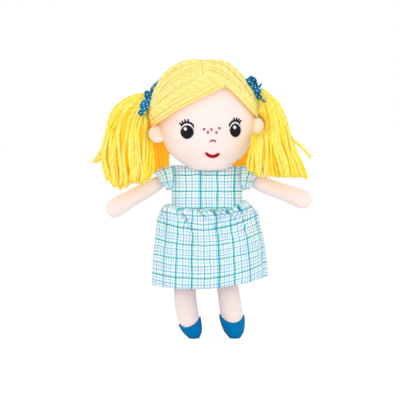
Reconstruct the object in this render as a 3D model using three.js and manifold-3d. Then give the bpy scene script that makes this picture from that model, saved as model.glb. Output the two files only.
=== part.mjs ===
// Rag doll, 300 mm tall, in a gathered plaid dress. Millimetres, +Z up, the face looks along -Y.
// The doll's own left side is at +X. Heights are measured up from the soles while the doll is
// built, and the finished doll is then lowered so that its origin is at the middle of its waist.

import * as THREE from 'three';
import { mergeVertices } from 'three/addons/utils/BufferGeometryUtils.js';
import Module from 'manifold-3d';

const wasm = await Module();
wasm.setup();

// Heights up the doll, each counted from the one below it
const legLength = 86;
const hipToWaistHeight = 54;
const waistToShoulderHeight = 30.5;
const shoulderToChinHeight = 9.5;
const headHeight = 115;

// Cloth, stuffing and sewing
const clothWall = 1.2;
const dressWall = 1;
const sewnGap = 0.3;
const threadWall = 0.6;
const cutOverrunLength = 200;

// Head
const headWidth = 99;
const headDepth = 76;
const headBackOffset = 2;

// Hair
const hairThickness = 5;
const hairSideThickness = 7.5;
const hairSideOffset = -2.6;
const hairSplitOffset = -4;
const partingOffset = -4.6;
const seamWidth = 1.6;
const seamLength = 21;

// Pigtails
const pigtailWidth = 54;
const pigtailDepth = 36;
const rightPigtailLength = 100;
const leftPigtailLength = 98;
const rootDepth = 5;
const rootBackOffset = 2;

// Torso and neck
const torsoWidth = 72.4;
const torsoDepth = 40;
const hipToTorsoHeight = 10.6;
const neckGap = 1.2;
const neckOpeningRadius = 9;
const neckSlotRadius = 4.2;
const neckHoleDepth = 2;

// Arms
const armLength = 70;
const armRadius = 8.6;
const shoulderBallRadius = 6;
const shoulderHalfWidth = 46;
const rightArmAngle = 28.5;
const leftArmAngle = 20;
const tabDepth = 10;
const tabAngle = 50;

// Legs and shoes
const legRadius = 11.8;
const hipHalfWidth = 19;
const hipBallRadius = 8;
const toeLength = 9;
const shoeHeight = 23;
const instepDepth = 8.5;
const soleCutDepth = 0.3;
const flapHalfWidth = 26;
const flapAngle = 50;

// Ears
const earRadius = 9.6;
const earThickness = 6;

// Dress
const skirtLength = 83;
const skirtWidth = 119;
const skirtDepth = 72;
const hemAngle = 4.3;
const foldCount = 12;
const foldDepth = 3;
const necklineWidth = 52;
const necklineDepth = 6;
const armholeRadius = 11.5;
const ruffleLength = 17;
const ruffleFlareWidth = 5;
const ruffleWaveDepth = 1.1;
const placketWidth = 9;

// Ribbons and ties
const ribbonWidth = 6.35;
const ribbonThickness = 0.8;
const bowLoopLength = 13;
const bowTailLength = 15;
const knotRadius = 3.6;
const tieRadius = 5.4;
const tieCordRadius = 1.3;
const tieGap = 1.2;

// Places that follow from those sizes
const hipHeight = legLength;
const waistHeight = hipHeight + hipToWaistHeight;
const shoulderHeight = waistHeight + waistToShoulderHeight;
const chinHeight = shoulderHeight + shoulderToChinHeight;
const headTop = chinHeight + headHeight;
const dollHeight = headTop + hairThickness;
const torsoTop = chinHeight - neckGap;

const colours = {
  skin: 0xfdeee8, stuffing: 0xf6f4ee, hair: 0xfbe98a, pigtail: 0xffd91a, ribbon: 0x0f7fc0,
  shoe: 0x0f80bd, plaid: 0xd6eef2, black: 0x2b2b2d, white: 0xffffff, mouth: 0xc0102a,
  freckle: 0xb0506e, seam: 0xe8cf3a, tape: 0xeef2f4,
};

const doll = new THREE.Group();
doll.position.z = -waistHeight;

function addPart(name, geometry, colour) {
  const material = new THREE.MeshStandardMaterial({ color: colour, roughness: 0.9, metalness: 0 });
  const mesh = new THREE.Mesh(geometry, material);
  mesh.name = name;
  doll.add(mesh);
}

// Angles

const radians = (degrees) => THREE.MathUtils.degToRad(degrees);

// Stuffed forms. A section is a closed oval ring: its middle (x, y, h), its half width a, its half
// depth b and its tilt about Y in degrees. A form runs through its sections, and a section whose
// half width is zero closes it with a point.

function section(x, y, h, a, b, tilt = 0) {
  return { x, y, h, a, b, tilt };
}

// The sections moved outward by a distance along the form's own surface normal

function grown(sections, distance) {
  return sections.map((ring, i) => {
    const before = sections[Math.max(i - 1, 0)];
    const after = sections[Math.min(i + 1, sections.length - 1)];
    const along = new THREE.Vector3(Math.sin(radians(ring.tilt)), 0, Math.cos(radians(ring.tilt)));
    const step = new THREE.Vector3(after.x - before.x, after.y - before.y, after.h - before.h);
    const run = step.dot(along);
    const swell = (after.a + after.b - before.a - before.b) / 2;
    const length = Math.hypot(run, swell);
    const atPole = ring.a === 0;
    const outward = atPole ? 0 : (distance * run) / length;
    const onward = atPole ? Math.sign(i - 1) * distance : (-distance * swell) / length;
    return section(ring.x + along.x * onward, ring.y, ring.h + along.z * onward,
      ring.a + outward, ring.b + outward, ring.tilt);
  });
}

function ringPoints(ring, sides, wave) {
  const tilt = radians(ring.tilt);
  const count = ring.a === 0 ? 1 : sides;
  return Array.from({ length: count }, (_, j) => {
    const turn = (2 * Math.PI * j) / sides;
    const swell = wave ? wave(ring, turn) : 0;
    const u = (ring.a + swell) * Math.cos(turn);
    const v = (ring.b + swell) * Math.sin(turn);
    return new THREE.Vector3(ring.x + u * Math.cos(tilt), ring.y + v, ring.h - u * Math.sin(tilt));
  });
}

function geometryFrom(points, triangles) {
  const geometry = new THREE.BufferGeometry();
  const places = points.flatMap((p) => [p.x, p.y, p.z]);
  geometry.setAttribute('position', new THREE.Float32BufferAttribute(places, 3));
  geometry.setIndex(triangles);
  return geometry;
}

// One closed skin through all the rings in turn; a looped skin joins its last ring to its first

function skin(rings, sides, { looped = false, wave = null } = {}) {
  const points = [];
  const starts = rings.map((ring) => {
    const start = points.length;
    points.push(...ringPoints(ring, sides, wave));
    return start;
  });
  const triangles = [];
  const last = looped ? rings.length : rings.length - 1;
  for (let i = 0; i < last; i += 1) {
    const next = (i + 1) % rings.length;
    for (let j = 0; j < sides; j += 1) {
      const k = (j + 1) % sides;
      const low = rings[i].a === 0 ? [starts[i], starts[i]] : [starts[i] + j, starts[i] + k];
      const above = starts[next];
      const high = rings[next].a === 0 ? [above, above] : [above + j, above + k];
      if (low[0] !== low[1]) triangles.push(low[0], low[1], high[1]);
      if (high[0] !== high[1]) triangles.push(low[0], high[1], high[0]);
    }
  }
  return geometryFrom(points, triangles);
}

// A sewn cover, open at its last section, and the stuffing that fills it

function cover(sections, sides) {
  const inside = grown(sections, -clothWall);
  return skin([...sections, ...inside.reverse()], sides);
}

function stuffing(sections, sides) {
  const inner = grown(sections, -clothWall - sewnGap);
  const rim = inner[inner.length - 1];
  const along = new THREE.Vector3(Math.sin(radians(rim.tilt)), 0, Math.cos(radians(rim.tilt)));
  const end = section(rim.x - along.x * sewnGap, rim.y, rim.h - along.z * sewnGap, 0, 0, rim.tilt);
  return skin([...inner, end], sides);
}

// Booleans

function toSolid(geometry) {
  const bare = geometry.clone();
  bare.deleteAttribute('normal');
  bare.deleteAttribute('uv');
  const merged = mergeVertices(bare);
  const vertProperties = Float32Array.from(merged.attributes.position.array);
  const triVerts = Uint32Array.from(merged.index.array);
  return new wasm.Manifold(new wasm.Mesh({ numProp: 3, vertProperties, triVerts }));
}

function toGeometry(solid) {
  const mesh = solid.getMesh();
  const geometry = new THREE.BufferGeometry();
  geometry.setAttribute('position', new THREE.BufferAttribute(Float32Array.from(mesh.vertProperties), 3));
  geometry.setIndex(Array.from(mesh.triVerts));
  return geometry;
}

function blockSolid(low, high) {
  const size = high.map((value, i) => value - low[i]);
  const block = new THREE.BoxGeometry(...size);
  block.translate(...high.map((value, i) => (value + low[i]) / 2));
  return toSolid(block);
}

function ovalSolid(x, y, h, a, b, c, sides = 16) {
  const ball = new THREE.SphereGeometry(1, sides, sides / 2);
  ball.rotateX(Math.PI / 2);
  ball.scale(a, b, c);
  ball.translate(x, y, h);
  return toSolid(ball);
}

// Head: a stuffed ball, narrower at the chin, with a flat back. Each row gives the height up from
// the chin, the width, the depth and the sideways shift, as shares of the head's own sizes.

const headShares = [
  [1, 0, 0, 0.04], [0.985, 0.26, 0.24, 0.04], [0.94, 0.5, 0.48, 0.035], [0.86, 0.74, 0.72, 0.02],
  [0.74, 0.91, 0.89, 0], [0.6, 0.99, 0.985, -0.012], [0.46, 1, 1, -0.012], [0.34, 0.975, 0.97, -0.004],
  [0.24, 0.92, 0.88, 0.002], [0.155, 0.8, 0.74, 0.004], [0.075, 0.58, 0.56, 0.01],
  [0.02, 0.42, 0.44, 0.02], [0, 0.3, 0.34, 0.01],
];
const headSides = 24;
const headSections = headShares.map(([up, wide, deep, shift]) => section(
  shift * headWidth, -headBackOffset, chinHeight + up * headHeight,
  (wide * headWidth) / 2, (deep * headDepth) / 2, 180,
));
const headMouthRing = section(0, 0, chinHeight, neckOpeningRadius, neckOpeningRadius, 180);
const headClosed = [...headSections, section(0, -headBackOffset, chinHeight, 0, 0, 180)];

function headGrown(distance) {
  return toSolid(skin(grown(headClosed, distance), headSides));
}

addPart('head_cover', cover([...headSections, headMouthRing], headSides), colours.skin);
addPart('head_stuffing', stuffing([...headSections, headMouthRing], headSides), colours.stuffing);

// Torso: a flat stuffed bag, open at the neck, with a narrow bottom so that the legs can fold up.
// Rows are the height up from the bottom, the width and the depth, as shares.

const torsoBottom = hipHeight + hipToTorsoHeight;
const torsoHeight = torsoTop - torsoBottom;
const torsoShares = [
  [0, 0, 0], [0, 0.6, 0.36], [0.06, 0.87, 0.72], [0.16, 0.97, 0.95], [0.35, 1, 1], [0.51, 0.985, 0.96],
  [0.7, 1, 1], [0.86, 0.985, 0.9], [0.95, 0.93, 0.74], [1, 0.8, 0.25],
];
const torsoSides = 20;
const torsoRings = torsoShares.map(([up, wide, deep]) => section(
  0, 0, torsoBottom + up * torsoHeight, (wide * torsoWidth) / 2, (deep * torsoDepth) / 2,
));
const torsoMouth = section(0, 0, torsoTop - neckHoleDepth, neckOpeningRadius, neckSlotRadius);
addPart('torso_cover', cover([...torsoRings, torsoMouth], torsoSides), colours.skin);

// The filling stops level below the thin shoulder edge

const fillWidthShare = 0.76;
const torsoFill = section(
  0, 0, torsoTop - neckHoleDepth, (fillWidthShare * torsoWidth) / 2, neckSlotRadius + clothWall,
);
addPart('torso_stuffing', stuffing([...torsoRings.slice(0, -1), torsoFill], torsoSides), colours.stuffing);

// How far out the torso's side lies at a depth y and a height h

function torsoX(y, h) {
  const up = Math.min((h - torsoBottom) / torsoHeight, 1);
  const above = torsoShares.find((row) => row[0] >= up);
  const below = torsoShares.findLast((row) => row[0] <= up);
  const part = above[0] === below[0] ? 0 : (up - below[0]) / (above[0] - below[0]);
  const [, broad, deep] = above.map((value, i) => below[i] + (value - below[i]) * part);
  return ((broad * torsoWidth) / 2) * Math.sqrt(1 - (y / ((deep * torsoDepth) / 2)) ** 2);
}

// Neck: a short flat strip of stuffed cloth from the torso's opening into the head's opening. It is
// round at its foot, where it rocks.

const neckShares = [[0, 0], [0.04, 0.5], [0.14, 0.85], [0.3, 1], [0.8, 1], [1, 0.9], [1, 0]];
const neckSides = 16;
const neckHalfWidth = neckOpeningRadius - clothWall - sewnGap;
const neckHalfDepth = neckSlotRadius - clothWall - sewnGap;
const neckBase = torsoTop - neckHoleDepth - clothWall;
const neckTop = chinHeight + clothWall;
addPart('neck', skin(neckShares.map(([up, wide]) => section(
  0, 0, neckBase + up * (neckTop - neckBase), wide * neckHalfWidth, wide * neckHalfDepth,
)), neckSides), colours.skin);

// Ears: flat stuffed rounds, sewn into the side of the head

const earShares = { right: [-0.543, 0.345], left: [0.527, 0.42] };
const earY = -headBackOffset - earThickness / 2;

function earSolid(side, growth) {
  const [across, up] = earShares[side];
  return ovalSolid(across * headWidth, earY, chinHeight + up * headHeight,
    earRadius + growth, earThickness / 2 + growth, earRadius + growth, 14);
}

for (const side of ['left', 'right']) {
  addPart(`${side}_ear`, toGeometry(earSolid(side, 0).subtract(headGrown(sewnGap))), colours.skin);
}

// Face: flat stitched shapes that follow the front of the head. Places are shares of the head's
// width from its middle, and of its height from the chin.

function faceY(x, h) {
  const up = (h - chinHeight) / headHeight;
  const above = headShares.findLast((row) => row[0] >= up);
  const below = headShares.find((row) => row[0] <= up);
  const part = above[0] === below[0] ? 0 : (up - below[0]) / (above[0] - below[0]);
  const [, wide, deep, shift] = above.map((value, i) => below[i] + (value - below[i]) * part);
  const across = (x - shift * headWidth) / ((wide * headWidth) / 2);
  return -headBackOffset - ((deep * headDepth) / 2) * Math.sqrt(1 - across * across);
}

function facePoint(x, h, lift) {
  return new THREE.Vector3(x, faceY(x, h) - lift, h);
}

function stitchedPatch(outline, lift, rounds = []) {
  const flat = outline.map(([x, h]) => new THREE.Vector2(x, h));
  if (THREE.ShapeUtils.isClockWise(flat)) flat.reverse();
  const count = flat.length;
  const faces = rounds.length ? [] : THREE.ShapeUtils.triangulateShape(flat, []);
  if (rounds.length) {
    const middle = flat.reduce((sum, p) => sum.add(p), new THREE.Vector2()).divideScalar(count);
    const rim = flat.slice();
    rounds.forEach((share) => flat.push(...rim.map((p) => middle.clone().lerp(p, share))));
    flat.push(middle);
    const centre = flat.length - 1;
    for (let i = 0; i < count; i += 1) {
      const k = (i + 1) % count;
      for (let r = 0; r < rounds.length; r += 1) {
        const near = r * count;
        const far = near + count;
        faces.push([near + i, near + k, far + k], [near + i, far + k, far + i]);
      }
      faces.push([rounds.length * count + i, rounds.length * count + k, centre]);
    }
  }
  const front = flat.map((p) => facePoint(p.x, p.y, lift + threadWall));
  const back = flat.map((p) => facePoint(p.x, p.y, lift));
  const total = flat.length;
  const triangles = [];
  for (const [a, b, c] of faces) triangles.push(a, b, c, total + a, total + c, total + b);
  for (let i = 0; i < count; i += 1) {
    const k = (i + 1) % count;
    triangles.push(i, total + i, total + k, i, total + k, k);
  }
  return geometryFrom([...front, ...back], triangles);
}

function ovalOutline(x, h, wide, high, count) {
  return Array.from({ length: count }, (_, i) => {
    const turn = (2 * Math.PI * i) / count;
    return [x + wide * Math.cos(turn), h + high * Math.sin(turn)];
  });
}

const glintRadius = 1.8;

function faceOval(name, [across, up], wide, high, layer, colour) {
  const x = across * headWidth;
  const h = chinHeight + up * headHeight;
  const lift = sewnGap + layer * (threadWall + sewnGap);
  const rounds = wide > glintRadius ? [0.5] : [];
  addPart(name, stitchedPatch(ovalOutline(x, h, wide, high, 14), lift, rounds), colour);
}

const irisRadius = 7;
const whiteWidth = 7.6;
const whiteHeight = 8.8;
const lashLength = 3.6;
const lashLine = 1.3;
const lashCount = 4;
const eyes = [
  { side: 'right', place: [-0.214, 0.367], widthShare: 1, glint: [-0.232, 0.39], lashTurn: 35 },
  { side: 'left', place: [0.305, 0.377], widthShare: 0.9, glint: [0.297, 0.407], lashTurn: -10 },
];
const whiteRiseShare = 0.016;
for (const { side, place, widthShare, glint } of eyes) {
  const raised = [place[0], place[1] + whiteRiseShare];
  faceOval(`${side}_eye_white`, raised, whiteWidth * widthShare, whiteHeight, 0, colours.white);
  faceOval(`${side}_iris`, place, irisRadius * widthShare, irisRadius, 1, colours.black);
  faceOval(`${side}_eye_glint`, glint, glintRadius, glintRadius, 2, colours.white);
}

// Lashes: a stitched arch over the eye with four spikes on its outer part

for (const { side, place, widthShare, lashTurn } of eyes) {
  const x = place[0] * headWidth;
  const h = chinHeight + (place[1] + whiteRiseShare) * headHeight;
  const steps = 4 * lashCount;
  const spread = 130;
  const at = (angle, reach) => [
    x - Math.sin(radians(angle)) * (whiteWidth * widthShare + reach),
    h + Math.cos(radians(angle)) * (whiteHeight + reach),
  ];
  const inner = [];
  const outer = [];
  for (let i = 0; i <= steps; i += 1) {
    const angle = -spread / 2 + (spread * i) / steps;
    inner.push(at(angle, sewnGap));
    const near = Math.abs(angle - lashTurn) < spread / 3;
    outer.push(at(angle, near && i % 2 === 1 ? lashLine + lashLength : lashLine));
  }
  addPart(`${side}_lashes`, stitchedPatch([...inner, ...outer.reverse()], sewnGap), colours.black);
}

const freckleShares = [[-0.032, 0.385], [0.046, 0.383], [0.131, 0.395], [0.009, 0.357], [0.1, 0.355]];
const freckleRadius = 1.35;
freckleShares.forEach((place, i) => {
  faceOval(`freckle_${i + 1}`, place, freckleRadius, freckleRadius, 0, colours.freckle);
});

// A stitched line of one width through three points, bent as an arc

function stitchedArc(name, shares, width, colour) {
  const [start, middle, end] = shares.map(([across, up]) => new THREE.Vector2(
    across * headWidth, chinHeight + up * headHeight,
  ));
  const control = middle.clone().multiplyScalar(2).sub(start.clone().add(end).multiplyScalar(0.5));
  const curve = new THREE.QuadraticBezierCurve(start, control, end);
  const upper = [];
  const lower = [];
  const steps = 6;
  for (let i = 0; i <= steps; i += 1) {
    const p = curve.getPoint(i / steps);
    const t = curve.getTangent(i / steps);
    upper.push([p.x - (t.y * width) / 2, p.y + (t.x * width) / 2]);
    lower.push([p.x + (t.y * width) / 2, p.y - (t.x * width) / 2]);
  }
  addPart(name, stitchedPatch([...upper, ...lower.reverse()], sewnGap), colour);
}

const mouthThickness = 3;
const noseThickness = 1.2;
const mouthShares = [[-0.016, 0.17], [0.056, 0.135], [0.13, 0.162]];
const noseShares = [[0.033, 0.271], [0.062, 0.289], [0.092, 0.271]];
stitchedArc('mouth_stitch', mouthShares, mouthThickness, colours.mouth);
stitchedArc('nose_stitch', noseShares, noseThickness, colours.freckle);

// Arms: stuffed tubes with mitten ends. The round top turns in a sewn tab at the torso's side.
// Rows are the distance from the shoulder as a share of the arm's length, and the radius as a
// share of the arm's radius.

const armShares = [
  [1, 0], [0.985, 0.5], [0.95, 0.84], [0.89, 1.07], [0.8, 1.12], [0.68, 1.05], [0.5, 1], [0.3, 1],
  [0.17, 0.95], [0.08, 0.82],
];
const ballShares = [[0, 1], [-0.5, 0.866], [-0.9, 0.436]];
const armSides = 12;
const sides = [
  { side: 'right', out: -1, droop: rightArmAngle },
  { side: 'left', out: 1, droop: leftArmAngle },
];

function armSections({ out, droop }) {
  const tilt = out * (90 + droop);
  const at = (along, radius) => section(
    out * shoulderHalfWidth + Math.sin(radians(tilt)) * along, 0,
    shoulderHeight + Math.cos(radians(tilt)) * along, radius, radius, tilt + 180,
  );
  const tube = armShares.map(([along, wide]) => at(along * armLength, wide * armRadius));
  const ball = ballShares.map(([along, wide]) => at(along * shoulderBallRadius, wide * shoulderBallRadius));
  return [...tube, ...ball];
}

// The whole form of an open cover, closed at its mouth, as a solid that other pieces clear

function closedForm(sections, growth, count) {
  const mouth = sections[sections.length - 1];
  const closed = [...sections, { ...mouth, a: 0, b: 0 }];
  return toSolid(skin(grown(closed, growth), count));
}

// A strip of cloth bent round a limb's ball: part of a ring between two radii, seen along its width

const stripSegments = 4;

function arcStrip(inner, outer, towards, turn, width) {
  const sector = new THREE.Shape();
  sector.absarc(0, 0, outer, towards - turn / 2, towards + turn / 2, false);
  sector.absarc(0, 0, inner, towards + turn / 2, towards - turn / 2, true);
  const options = { depth: width, bevelEnabled: false, curveSegments: stripSegments };
  const strip = new THREE.ExtrudeGeometry(sector, options);
  strip.translate(0, 0, -width / 2);
  return strip;
}

const tabInner = shoulderBallRadius + sewnGap;
const tabOuter = shoulderHalfWidth - torsoX(0, shoulderHeight - tabInner) - sewnGap;

for (const each of sides) {
  const rings = armSections(each);
  addPart(`${each.side}_arm_cover`, cover(rings, armSides), colours.skin);
  addPart(`${each.side}_arm_stuffing`, stuffing(rings, armSides), colours.stuffing);
  const towards = Math.PI / 2 + (each.out * Math.PI) / 2;
  const tab = arcStrip(tabInner, tabOuter, towards, radians(tabAngle), tabDepth);
  tab.rotateX(Math.PI / 2);
  tab.translate(each.out * shoulderHalfWidth, 0, shoulderHeight);
  addPart(`${each.side}_shoulder_tab`, tab, colours.skin);
}

// Legs: stuffed tubes that end in a foot pointing forward. Rows are the height up from the foot's
// bottom as a share of the leg's height, the width and depth as shares of the leg's radius, and
// the forward lean as a share of the foot's reach.

const footBottom = clothWall + sewnGap - soleCutDepth;
const legShares = [
  [0, 0, 0, 0.8], [0, 0.5, 0.75, 0.8], [0.03, 0.78, 1.08, 0.75], [0.09, 0.98, 1.3, 0.6],
  [0.17, 1.06, 1.2, 0.35], [0.26, 1.07, 1.05, 0.08], [0.42, 1.03, 1.02, 0], [0.66, 0.99, 1, 0],
  [0.85, 0.88, 0.88, 0],
];
const legSides = 12;
const legHeight = hipHeight - footBottom;
const legPathShares = { right: [0.72, 1.14, 1.25, 1], left: [1.58, 1.37, 1.15, 1] };

// The leg's middle line runs through four points from the foot up to the hip

function legX({ side, out }, up) {
  const line = new THREE.SplineCurve(legPathShares[side].map((share, i) => new THREE.Vector2(i, share)));
  return out * hipHalfWidth * line.getPoint(up).y;
}

function legSections(each) {
  const tube = legShares.map(([up, wide, deep, lean]) => section(
    legX(each, up), -lean * toeLength, footBottom + up * legHeight, wide * legRadius, deep * legRadius,
  ));
  const ball = ballShares.map(([along, wide]) => section(
    legX(each, 1), 0, hipHeight - along * hipBallRadius, wide * hipBallRadius, wide * hipBallRadius,
  ));
  return [...tube, ...ball];
}

// A shoe is a cloth cap over the foot with a flat sole, cut level at the ankle and dipped over the
// instep.

for (const each of sides) {
  const rings = legSections(each);
  addPart(`${each.side}_leg_cover`, cover(rings, legSides), colours.skin);
  addPart(`${each.side}_leg_stuffing`, stuffing(rings, legSides), colours.stuffing);
  const middle = legX(each, 0.2);
  const reach = 2 * legRadius;
  const level = blockSolid([middle - reach, -reach - toeLength, 0], [middle + reach, reach, shoeHeight]);
  const instepY = -reach - toeLength / 2;
  const instep = ovalSolid(middle, instepY, shoeHeight, legRadius, reach, instepDepth);
  const foot = closedForm(rings, sewnGap, legSides);
  const shoe = closedForm(rings, sewnGap + clothWall, legSides).subtract(foot);
  addPart(`${each.side}_shoe`, toGeometry(shoe.intersect(level).subtract(instep)), colours.shoe);
}

// Hip flap: the unstuffed strip of cloth under the torso that both legs are sewn into

const flapInner = hipBallRadius + sewnGap;
const flapOuter = hipToTorsoHeight - sewnGap;
const flapStrip = arcStrip(flapInner, flapOuter, Math.PI / 2, radians(flapAngle), 2 * flapHalfWidth);
flapStrip.rotateY(Math.PI / 2);
flapStrip.rotateX(Math.PI / 2);
flapStrip.translate(0, 0, hipHeight);
addPart('hip_flap', flapStrip, colours.skin);

// Hair: yarn laid over the crown. One cap covers the back of the head and falls to the neck, and
// two sweeps meet at a parting over the forehead. The open face is an outline in shares of the
// head's width and height.

const faceOpeningShares = [
  [0.205, 0.777], [0.028, 0.71], [-0.148, 0.633], [-0.337, 0.549], [-0.536, 0.43], [-0.8, 0.36],
  [-0.8, -0.3], [0.8, -0.3], [0.8, 0.4], [0.537, 0.5], [0.45, 0.578], [0.36, 0.653],
];

// A ring of the hair, which is thicker at the sides than on top and sits a little to one side

function thickened(ring) {
  if (ring.a === 0) return ring;
  const x = ring.x + (hairSideOffset * 2 * ring.a) / headWidth;
  return { ...ring, x, a: ring.a + hairSideThickness - hairThickness };
}

function hairSolid(growth) {
  return toSolid(skin(grown(headClosed, hairThickness + growth).map(thickened), headSides));
}

// The cap's lower rows: height up the head, width, depth and backward lean, as shares of the head

const backHairShares = [
  [0.6, 1.13, 1.1, 0.01], [0.44, 1.18, 1.06, 0.03], [0.28, 1.16, 0.88, 0.12], [0.14, 1.02, 0.62, 0.22],
  [0.06, 0.84, 0.44, 0.28],
];
const crownRows = 5;

function backHairSolid(growth) {
  const crownRings = grown(headClosed, hairThickness).slice(0, crownRows).map(thickened);
  const lower = backHairShares.map(([up, broad, deep, lean]) => section(
    hairSideOffset, -headBackOffset + lean * headDepth, chinHeight + up * headHeight,
    (broad * headWidth) / 2, (deep * headDepth) / 2, 180,
  ));
  const end = { ...lower[lower.length - 1], a: 0, b: 0 };
  return toSolid(skin(grown([...crownRings, ...lower, end], growth), headSides));
}

// The space beyond a plane: in front of, behind, to the left of, or above it

const far = cutOverrunLength;
const inFrontOf = (y) => blockSolid([-far, -far, 0], [far, y, dollHeight + far]);
const leftOf = (x) => blockSolid([x, -far, 0], [far, far, dollHeight + far]);
const higherThan = (h) => blockSolid([-far, -far, h], [far, far, dollHeight + far]);


const faceOpening = new THREE.Shape(faceOpeningShares.map(([across, up]) => new THREE.Vector2(
  across * headWidth, chinHeight + up * headHeight,
)));
const facePrism = new THREE.ExtrudeGeometry(faceOpening, { depth: far, bevelEnabled: false });
facePrism.rotateX(Math.PI / 2);
const ears = earSolid('left', sewnGap).add(earSolid('right', sewnGap));
const headClear = headGrown(sewnGap).add(ears);
const crown = hairSolid(0).subtract(headClear);
const frontHair = crown.intersect(inFrontOf(hairSplitOffset - sewnGap)).subtract(toSolid(facePrism));
const leftFringe = frontHair.intersect(leftOf(partingOffset + sewnGap / 2));
const rightFringe = frontHair.subtract(leftOf(partingOffset - sewnGap / 2));
const hairCap = backHairSolid(0).subtract(headClear).subtract(inFrontOf(hairSplitOffset));
addPart('left_fringe', toGeometry(leftFringe), colours.hair);
addPart('right_fringe', toGeometry(rightFringe), colours.hair);
addPart('hair_cap', toGeometry(hairCap), colours.hair);

// Parting seam: a stitched line that holds the two sweeps down along the parting

const seamBlock = blockSolid(
  [partingOffset - seamWidth / 2, -far, dollHeight - seamLength],
  [partingOffset + seamWidth / 2, hairSplitOffset, dollHeight - threadWall],
);
const partingSeam = hairSolid(sewnGap + threadWall).subtract(hairSolid(sewnGap)).intersect(seamBlock);
addPart('parting_seam', toGeometry(partingSeam), colours.seam);

// Pigtails: bundles of loose yarn, tied at the side of the head, that rise a little from the tie
// and fall in front of the arms. Rows are the bundle's middle outward, backward and downward from
// the tie, its half width and its half depth, as shares of the pigtail's width, depth and length,
// and its heading, where 90 points level outward and 180 points down.

const pigtailSides = 16;
const rootShares = { right: [0.54, 0.681], left: [0.478, 0.744] };
const rootHeading = { right: 88, left: 86 };
const pigtailShares = {
  right: [
    [0.074, -0.028, -0.002, 0.093, 0.167, 92], [0.213, -0.083, 0.013, 0.157, 0.306, 105],
    [0.389, -0.194, 0.093, 0.259, 0.417, 135], [0.481, -0.333, 0.223, 0.37, 0.472, 165],
    [0.472, -0.5, 0.383, 0.454, 0.5, 178], [0.463, -0.667, 0.533, 0.49, 0.472, 180],
    [0.454, -0.806, 0.683, 0.5, 0.444, 180], [0.435, -0.861, 0.813, 0.444, 0.389, 180],
    [0.463, -0.889, 0.908, 0.296, 0.306, 180], [0.519, -0.889, 0.973, 0.13, 0.167, 180],
    [0.537, -0.889, 1, 0, 0, 180],
  ],
  left: [
    [0.059, -0.028, 0, 0.093, 0.167, 92], [0.143, -0.083, 0.027, 0.13, 0.25, 110],
    [0.226, -0.167, 0.098, 0.185, 0.333, 135], [0.272, -0.306, 0.21, 0.259, 0.417, 158],
    [0.291, -0.444, 0.363, 0.306, 0.472, 175], [0.254, -0.611, 0.506, 0.361, 0.5, 180],
    [0.272, -0.778, 0.629, 0.444, 0.472, 180], [0.309, -0.917, 0.771, 0.537, 0.444, 180],
    [0.356, -0.972, 0.894, 0.565, 0.389, 180], [0.393, -0.972, 0.965, 0.444, 0.278, 180],
    [0.393, -0.972, 1, 0, 0, 180],
  ],
};
const pigtailLengths = { right: rightPigtailLength, left: leftPigtailLength };

function tiePlace({ side, out }) {
  const [across, up] = rootShares[side];
  return [out * (across * headWidth + hairSideThickness), rootBackOffset, chinHeight + up * headHeight];
}

function pigtailSections(each) {
  const { side, out } = each;
  const [x, y, h] = tiePlace(each);
  const heading = out * rootHeading[side];
  const necked = tieRadius - tieGap;
  const rootWidth = necked + sewnGap;
  const fall = pigtailShares[side].map(([away, back, down, wide, deep, turn]) => section(
    x + out * away * pigtailWidth, y + back * pigtailDepth, h - down * pigtailLengths[side],
    wide * pigtailWidth, deep * pigtailDepth, out * turn,
  ));
  return [
    section(x - out * rootDepth, y, h, 0, 0, heading),
    section(x - out * rootDepth, y, h, rootWidth, rootWidth, heading),
    section(x, y, h, necked, necked, heading),
    ...fall,
  ];
}

// Ruffles: gathered caps of dress cloth over the top of each arm, sewn round the armhole

const ruffleHalfTurn = 105;
const ruffleColumns = 20;
const ruffleWaves = 7;
const ruffleSeat = dressWall + 2 * sewnGap;
const ruffleSeamHeight = torsoTop - shoulderHeight;
const ruffleSeamDepth = armholeRadius + dressWall;

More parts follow.
